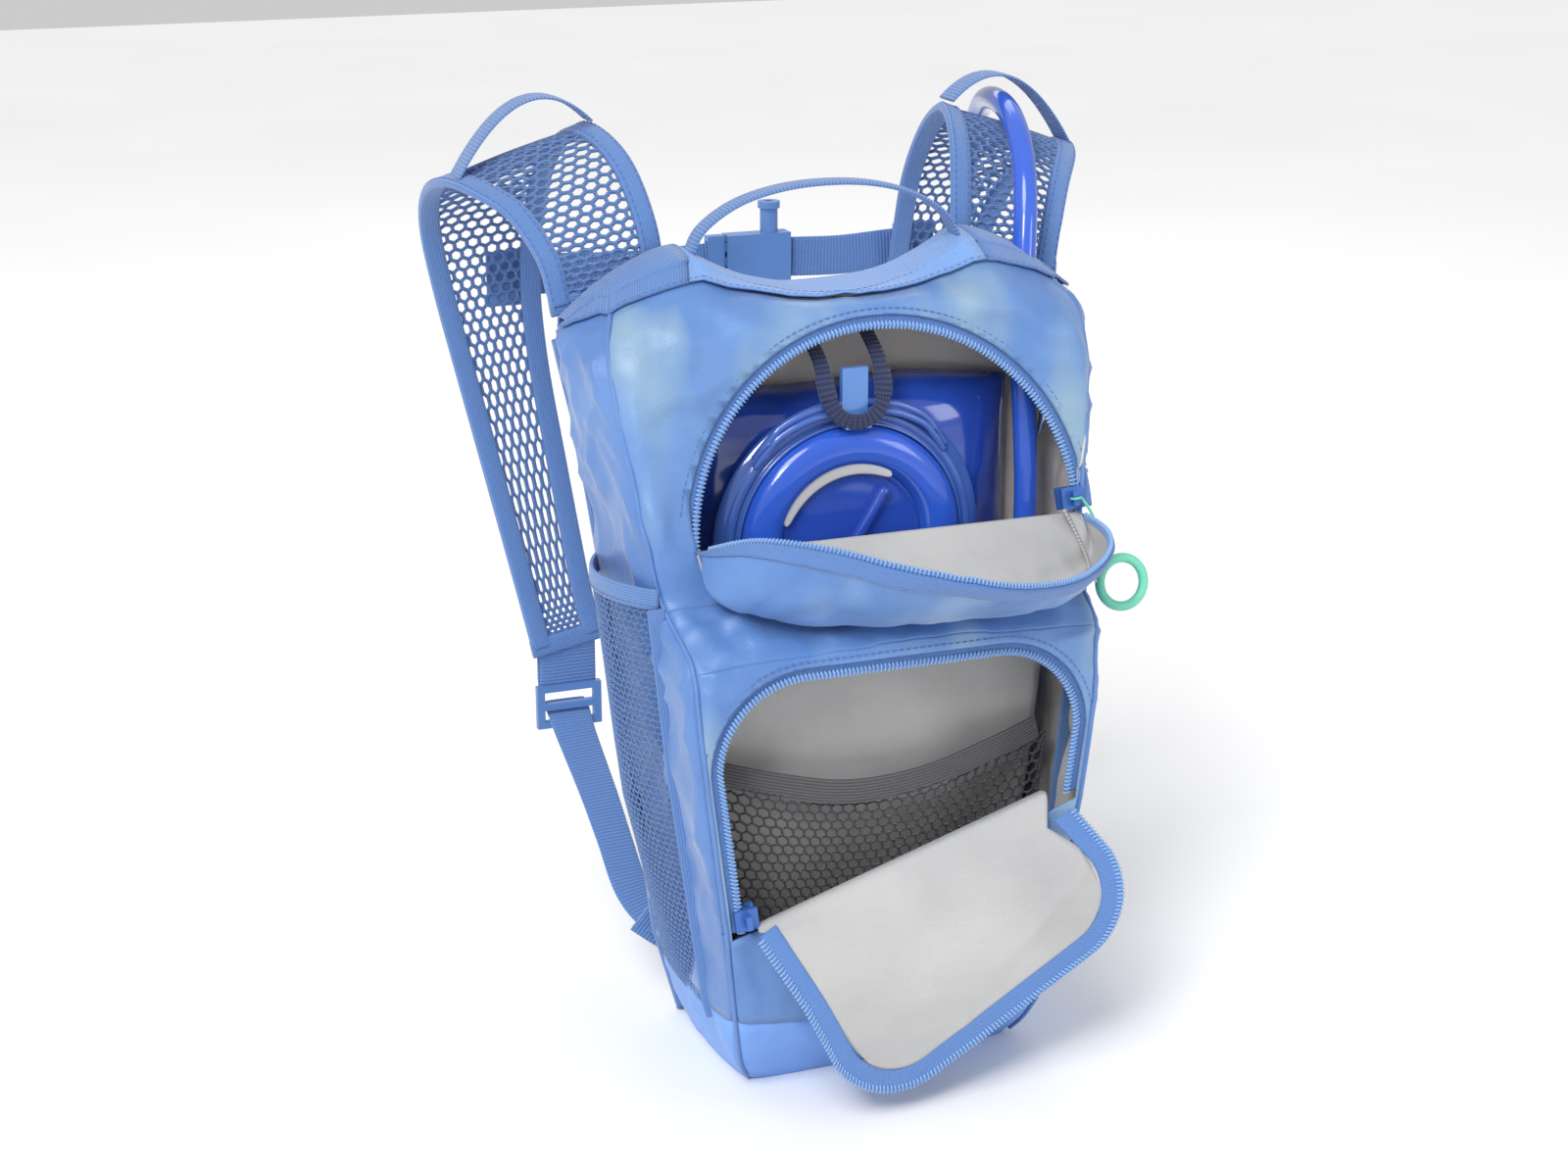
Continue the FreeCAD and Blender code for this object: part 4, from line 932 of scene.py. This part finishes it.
keep(joined("cap_body_plastic", cap_parts + [grip, pale]), "reservoir_hard", "reservoir_cap",
     body="cap_body")
bow = mirrored([(-41, -38.6, 253), (-36, -40.4, 260), (-30, -41.2, 266), (-17, -41.6, 271.6),
                (0, -41.8, 273.4)])
arch_bar = [tube(f"bow_{k}", smooth(np.array(bow) + (0, -0.4 * k, -3.4 * k), 90), 1.5, CLEAR, 14)
            for k in (0, 1)]
web_turn = mirrored([(0.7, 0, 0.7)] * 2 + [(0.3, 0, 1)] * 2 + [(0, 0, 1)])
web = ribbon("bow_web", np.array(bow) + (0, 0.4, -1.7), web_turn, 4.6, 1.4, CLEAR)
keep(joined("collar_bow", arch_bar + [web]), "collar_clear", "collar_handle")
sling = mirrored([(-12.6, -11, 304), (-12.6, -24, 298), (-12.5, -37, 290), (-12.3, -43, 281),
                  (-10.8, -45.8, 273.5), (-6.5, -47.0, 268.4), (0, -47.4, 266.6)])
flat = mirrored([(1, 0, 0)] * 3 + [(1, 0, 0.1), (0.8, 0, 0.5), (0.4, 0, 0.9), (0, 0, 1)])
loop = [ribbon("sling", sling, flat, 6.4, 1.5, NAVY)]
for side in (-1, 1):
    tack = [(side * 12.5, -40.6, 285.5), (side * 12.3, -43.6, 280.5), (side * 11.6, -45.0, 276)]
    loop.append(ribbon(f"bar_tack_{side}", tack, [1, 0, 0], 7.4, 2.6, NAVY))
keep(joined("hang_sling", loop), "hang_webbing", "hang_loop")

# ---- the back
def half_width(z):
    """The back panel's half width at a height."""
    return np.interp(z, [0, 40, 90, 140, 178, 208, 238, 268, 288, 300, 303],
                     [62, 73, 79, 85.5, 90, 94, 98.5, 103.5, 108, 110.5, 111])


def back_grid(depth_of, inset=0.0):
    """A sheet over the whole back, with its depth from the place on it (0 to 1 across and up)."""
    rows = []
    for v in np.linspace(0, 1, 90):
        row = []
        for u in np.linspace(-1, 1, 70):
            x = 105.0 * u
            for _ in range(3):
                z = inset + v * (float(crown_height(x)) - 2 * inset)
                x = u * (float(half_width(z)) - inset)
            row.append((x, depth_of(u, v), z))
        rows.append(row)
    return np.array(rows)


lining_grid = back_grid(lambda u, v: -7.6 + 0.5 * math.sin(u * 9 + v * 13), 1.0)[:, ::-1]
keep(cloth("back_lining_cloth", lining_grid, LINING, WARM_LINING, 0.8, offset=1), "lining", "back_lining")


def pad(u, v):
    """The back pad's depth: two long cushions, quilted across, thin at the edges and down the middle."""
    edge = (1 - abs(u) ** 8) * (1 - abs(2 * v - 1) ** 16)
    channel = 1 - 0.75 * math.exp(-(u / 0.09) ** 2)
    quilt = 1 - 0.35 * max(math.exp(-((v - line) / 0.014) ** 2) for line in (0.22, 0.42, 0.62, 0.82))
    return -1.0 + 5.0 * edge * channel * quilt


cushion = cloth("back_pad", back_grid(pad, 0.6)[:, ::-1], FOAM_MESH, FOAM_MESH, 5.0, offset=-1)
keep(cushion, "air_mesh", "back_air_mesh", "back_foam")

skin_normals = row_normals(SKIN)


def edge_band(columns, stand, first):
    """Points of a band over the bag's top edge, from its front skin to its back."""
    front = [SKIN[row, columns] + skin_normals[row, columns] * stand for row in (-first, -first + 3, -4, -2)]
    rim = SKIN[-1, columns]
    over = [np.stack([rim[:, 0], 0 * rim[:, 0] + y, rim[:, 2] + rise], 1)
            for y, rise in ((-8.5, 2.0), (0.5, 1.6), (3.0, -3.0), (3.2, -10.0))]
    return np.stack(front + over)


bands, sewing = [], []
across = SKIN[-1, :, 0]
for places, material, stand in ((np.abs(across) < 63, NECK, 1.6), (across < -57, BINDING, 1.0),
                                (across > 57, BINDING, 1.0)):
    columns = np.where(places)[0]
    grid = edge_band(columns, stand, 10)
    bands.append(cloth(f"edge_band_{len(bands)}", smooth(grid, 36), material, material, 1.0, offset=1))
    way = skin_normals[-9, columns]
    for row in (0, 2):
        line = grid[row] + (grid[row + 1] - grid[row]) * 0.3 + way * 1.0
        sewing.append(stitches(f"band_stitches_{len(sewing)}", line, way))
keep(joined("neck_and_yoke_band", bands + sewing), "binding", "neck_and_yoke_binding")
piping = []
for side in (-1, 1):
    heights = np.linspace(1, 300, 120)
    edge = np.stack([side * (half_width(heights) + 0.8), 0 * heights - 4.5, heights], 1)
    piping.append(tube(f"piping_{side}", edge, 2.0, BINDING, 12))
for column in (LEFT_SEAM, RIGHT_SEAM):
    piping.append(tube(f"welt_{column}", SKIN[3:, column] + skin_normals[3:, column] * 0.7, 0.9, SIDE, 10))
keep(joined("seam_piping", piping), "binding")

# ---- side pockets
for side, name in ((-1, "left"), (1, "right")):
    def pocket_side(along, across, side=side):
        """A side pocket's net: along is up it, across is from the back seam to the front corner."""
        z = 32 + 173 * along
        back_x = float(half_width(z)) + 1.0
        front_x = float(np.interp(z, [0, 36, 88, 138, 170, 210], [60, 72, 78, 84, 87, 91]))
        belly = 13.0 * math.sin(math.pi * across) ** 0.8 * min(1.0, 0.25 + along * 1.6)
        y = -6.0 + (-66.0 - 20 * (1 - along) ** 2 * 0.4 + 6.0) * across
        return np.array([side * (back_x + (front_x - back_x) * across + belly), y, z])

    woven = net(f"side_net_{name}", pocket_side, 173, 66, 3.1, 0.95, NET)
    keep(woven, "hex_mesh", f"side_pocket_{name}")
    hem_path = np.array([pocket_side(1.0, b) + (side * 0.5, 0, 3.5) for b in np.linspace(0, 1, 14)])
    hem = [ribbon("hem", hem_path, UP, 8.5, 2.0, BINDING)]
    outward = np.array([side * 1.0, 0, 0])
    hem.append(stitches("hem_stitches", hem_path + outward * 1.2 - UP * 2.4, outward))
    front_path = np.array([pocket_side(a, 1.0) + (side * 1.8, -1.2, 0) for a in np.linspace(0, 1.0, 30)])
    hem.append(ribbon("hem_front", front_path, [side * 1.0, 0.3, 0], 7.0, 1.4, BINDING))
    keep(joined(f"side_pocket_hem_{name}_webbing", hem), "binding", f"side_pocket_hem_{name}")

# ---- shoulder straps
# each cross section of the right strap: its centre, its half width and its outer edge's droop in degrees
STRAP = [(87, 5, 314, 24, 0), (90, 9, 336, 26, 8), (98, 24, 357, 29, 15), (108, 50, 364, 32, 18),
         (112, 80, 354, 31, 15), (111, 104, 332, 28, 8), (107, 116, 300, 24, 0), (101, 118, 262, 21, 0),
         (93, 113, 215, 19, 0), (84, 104, 160, 17, 0), (80, 99, 138, 17, 0)]
EDGE = 9.0


def strap_lines(side):
    """The strap's middle line, its directions across and out, and its half widths."""
    table = smooth(np.array(STRAP, float), 241)
    middle = table[:, :3] * (side, 1, 1)
    droop = np.radians(table[:, 4])
    ways = unit(np.gradient(middle, axis=0))
    across = np.stack([side * np.cos(droop), 0 * droop, -np.sin(droop)], 1)
    across = unit(across - (across * ways).sum(1)[:, None] * ways)
    return middle, across, unit(np.cross(across, ways)) * side, table[:, 3]


for side, name in ((-1, "left"), (1, "right")):
    middle, across, out, half = strap_lines(side)
    length = lengths(middle)[-1]

    def strap_surface(along, wide, middle=middle, across=across, out=out, half=half):
        place = along * (len(middle) - 1)
        low = min(int(place), len(middle) - 2)
        blend = place - low
        mix = lambda field: field[low] * (1 - blend) + field[low + 1] * blend
        shift = (2 * wide - 1)
        return mix(middle) + mix(across) * shift * (mix(half) - EDGE * 0.6) + mix(out) * 1.5 * (1 - shift**2)

    keep(net(f"strap_net_{name}", strap_surface, length, 40, 5.3, 2.1, NET), "hex_mesh",
         f"strap_mesh_{name}")
    edges = []
    for hand in (-1, 1):
        line = middle + across * (hand * (half - EDGE / 2))[:, None]
        edges.append(ribbon(f"edge_{hand}", line[::6], across[::6], EDGE, 4.6, BINDING))
        for shift in (-2.6, 3.2):
            at = line + across * hand * shift
            edges.append(stitches(f"edge_stitches_{hand}", at + out * 2.25, out, pitch=3.2))
    for end in (0, -1):
        edges.append(ribbon(f"edge_end_{end}", [middle[end] - across[end] * half[end], middle[end],
                                                middle[end] + across[end] * half[end]],
                            unit(middle[end] - middle[2 if end == 0 else -3]), 8.0, 3.6, BINDING))
    keep(joined(f"strap_edges_{name}", edges), "binding", f"strap_edging_{name}")
    slope = math.tan(math.radians(18))
    crest = [(side * (108 + u * 28), 50, 364 + 3.4 + 19 * (1 - u * u) - u * 32 * slope)
             for u in np.linspace(-1, 1, 15)]
    keep(ribbon(f"crest_loop_{name}", crest, [0, 1, 0], 15.0, 1.5, WEBBING), "webbing", f"hose_loop_{name}")
    tail = np.array([(80, 108, 106), (80, 103, 104.5), (80, 99, 103), (80, 90, 97), (79, 76, 87),
                     (78, 60, 76), (77, 42, 62), (76, 24, 48), (72, 12, 40), (66, 3.2, 36)]) * (side, 1, 1)
    widths = [20, 20, 20, 19, 18, 17, 16, 16, 16, 16]
    keep(ribbon(f"lower_webbing_{name}", tail, [1, 0, 0], widths, 1.6, WEBBING), "webbing",
         f"strap_webbing_{name}")
tabs, anchors = [], []
for side in (-1, 1):
    tab = np.array([(80, 99, 140), (80, 99.2, 130), (80, 99.4, 118), (80, 101.5, 114.5), (80, 103.6, 118),
                    (80, 103.8, 130)]) * (side, 1, 1)
    tabs.append(ribbon("tab", tab, [1, 0, 0], 26, 1.8, WEBBING))
    anchor = np.array([(56, 2.4, 30), (66, 3.2, 36), (76, 5.0, 44)]) * (side, 1, 1)
    anchors.append(ribbon("anchor", anchor, [-0.5 * side, 0, 1], 20, 2.0, WEBBING))
keep(joined("strap_end_webbing", tabs), "webbing", "strap_end_tabs")
keep(joined("lower_anchor_webbing", anchors), "webbing", "webbing_anchors")

# ---- carry handle and sternum strap
rise = mirrored([(-58, -9.5, 331), (-52, -9.5, 341), (-38, -9.5, 350), (-20, -9.5, 355), (0, -9.5, 356.5)])
keep(ribbon("handle_webbing", rise, [0, 1, 0], 11, 2.0, WEBBING), "webbing", "carry_handle",
     body="handle_body")
STERNUM = {"right": [(104, 121.6, 301), (85, 122.2, 300.4), (60, 122, 299.2), (35.5, 122, 300)],
           "left": [(-104, 121.6, 301), (-80, 122.2, 300.4), (-40, 122, 298.8), (1.6, 122, 300)]}
for name, body in (("right", "pack"), ("left", "clip_body")):
    keep(ribbon(f"sternum_{name}", STERNUM[name], UP, 18, 1.6, WEBBING), "webbing",
         f"sternum_webbing_{name}", body=body)

# ---- drinking tube
HOSE_ROUTE = [(52, -46, 57), (56, -46, 84), (66, -45, 124), (76, -42, 172), (80, -38, 222),
              (81, -31, 262), (83, -21, 294), (86, -16.5, 318), (90, -9, 344), (96, 8, 363),
              (101, 32, 375), (106, 60, 377), (114, 88, 370), (121, 112, 350), (124, 127, 322),
              (122, 131, 290), (117, 131, 254), (112, 129, 216), (109, 125, 182), (108, 119, 152)]
HOSE_DIAMETER = 0.010
curve = bpy.data.curves.new("drink_tube", "CURVE")
curve.dimensions = "3D"
spline = curve.splines.new("NURBS")
spline.points.add(len(HOSE_ROUTE) - 1)
for point, place in zip(spline.points, HOSE_ROUTE):
    point.co = (*(Vector(place) * MM), 1)
spline.order_u = 3
spline.use_endpoint_u = True
curve.resolution_u = 12
curve.bevel_depth = HOSE_DIAMETER / 2
curve.bevel_resolution = 8
curve.use_fill_caps = True
curve.materials.append(HOSE)
drink_tube = linked("drink_tube", curve)
keep(drink_tube, "hose", "drink_hose")

# ---- hard pieces that are kept from the CAD
for node, material in (("upper_zip_slider", METAL), ("pocket_zip_slider", METAL), ("upper_zip_pull", MINT),
                       ("cap_gasket", RUBBER), ("hang_hook", HOOK), ("reservoir_outlet", CAP),
                       ("ladder_locks", BUCKLE), ("buckle_socket", BUCKLE), ("buckle_clip", BUCKLE),
                       ("sternum_anchors", BUCKLE), ("valve_body", CAP), ("shutoff_lever", HOOK),
                       ("bite_valve", SILICONE)):
    slots = bpy.data.objects[node].data.materials
    slots.clear()
    slots.append(material)


# ---- stage and camera
AZIMUTH, ELEVATION = math.radians(-21), math.radians(18)
DISTANCE = 1.1
LOOK_AT = Vector((-0.025, -0.030, 0.195))
towards = Vector((math.sin(AZIMUTH) * math.cos(ELEVATION), -math.cos(AZIMUTH) * math.cos(ELEVATION),
                  math.sin(ELEVATION)))
lens = bpy.data.cameras.new("camera")
lens.lens = 61.9
lens.sensor_width = 36
camera = linked("camera", lens)
camera.location = LOOK_AT + towards * DISTANCE
camera.rotation_euler = (-towards).to_track_quat("-Z", "Y").to_euler()
bpy.context.scene.camera = camera


def area_light(name, place, power, width):
    """A soft square light that faces the pack."""
    light = bpy.data.lights.new(name, "AREA")
    light.energy = power
    light.size = width
    made = linked(name, light)
    made.location = place
    made.rotation_euler = (LOOK_AT - Vector(place)).to_track_quat("-Z", "Y").to_euler()


sun = bpy.data.lights.new("sun", "SUN")
sun.energy = 1.35
sun.angle = math.radians(28)
linked("sun", sun).rotation_euler = Vector((0.55, 0.55, -1.0)).to_track_quat("-Z", "Y").to_euler()
area_light("key", (-0.9, -1.1, 1.2), 9, 0.4)
area_light("fill", (1.1, -1.2, 0.7), 3, 0.5)
area_light("back", (0.3, 1.3, 1.4), 5, 1.0)
world = bpy.data.worlds.new("world")
world.use_nodes = True
background = world.node_tree.nodes["Background"].inputs
background["Color"].default_value = (1, 1, 1, 1)
background["Strength"].default_value = 0.60
bpy.context.scene.world = world
bpy.context.scene.view_settings.view_transform = "Standard"
floor_paint = Shader("floor_paint", 0.9)
floor_shade = floor_paint.noise(3, 2)
floor_paint.paint(floor_paint.colours(floor_shade, (0.3, (0.93, 0.93, 0.94)), (0.7, (0.96, 0.96, 0.96))))
FLOOR = 4000                     # half the floor's width, in millimetres
corners = [(-FLOOR, -FLOOR, 0), (FLOOR, -FLOOR, 0), (FLOOR, FLOOR, 0), (-FLOOR, FLOOR, 0)]
add_object("floor", corners, [(0, 1, 2, 3)], [floor_paint.material])
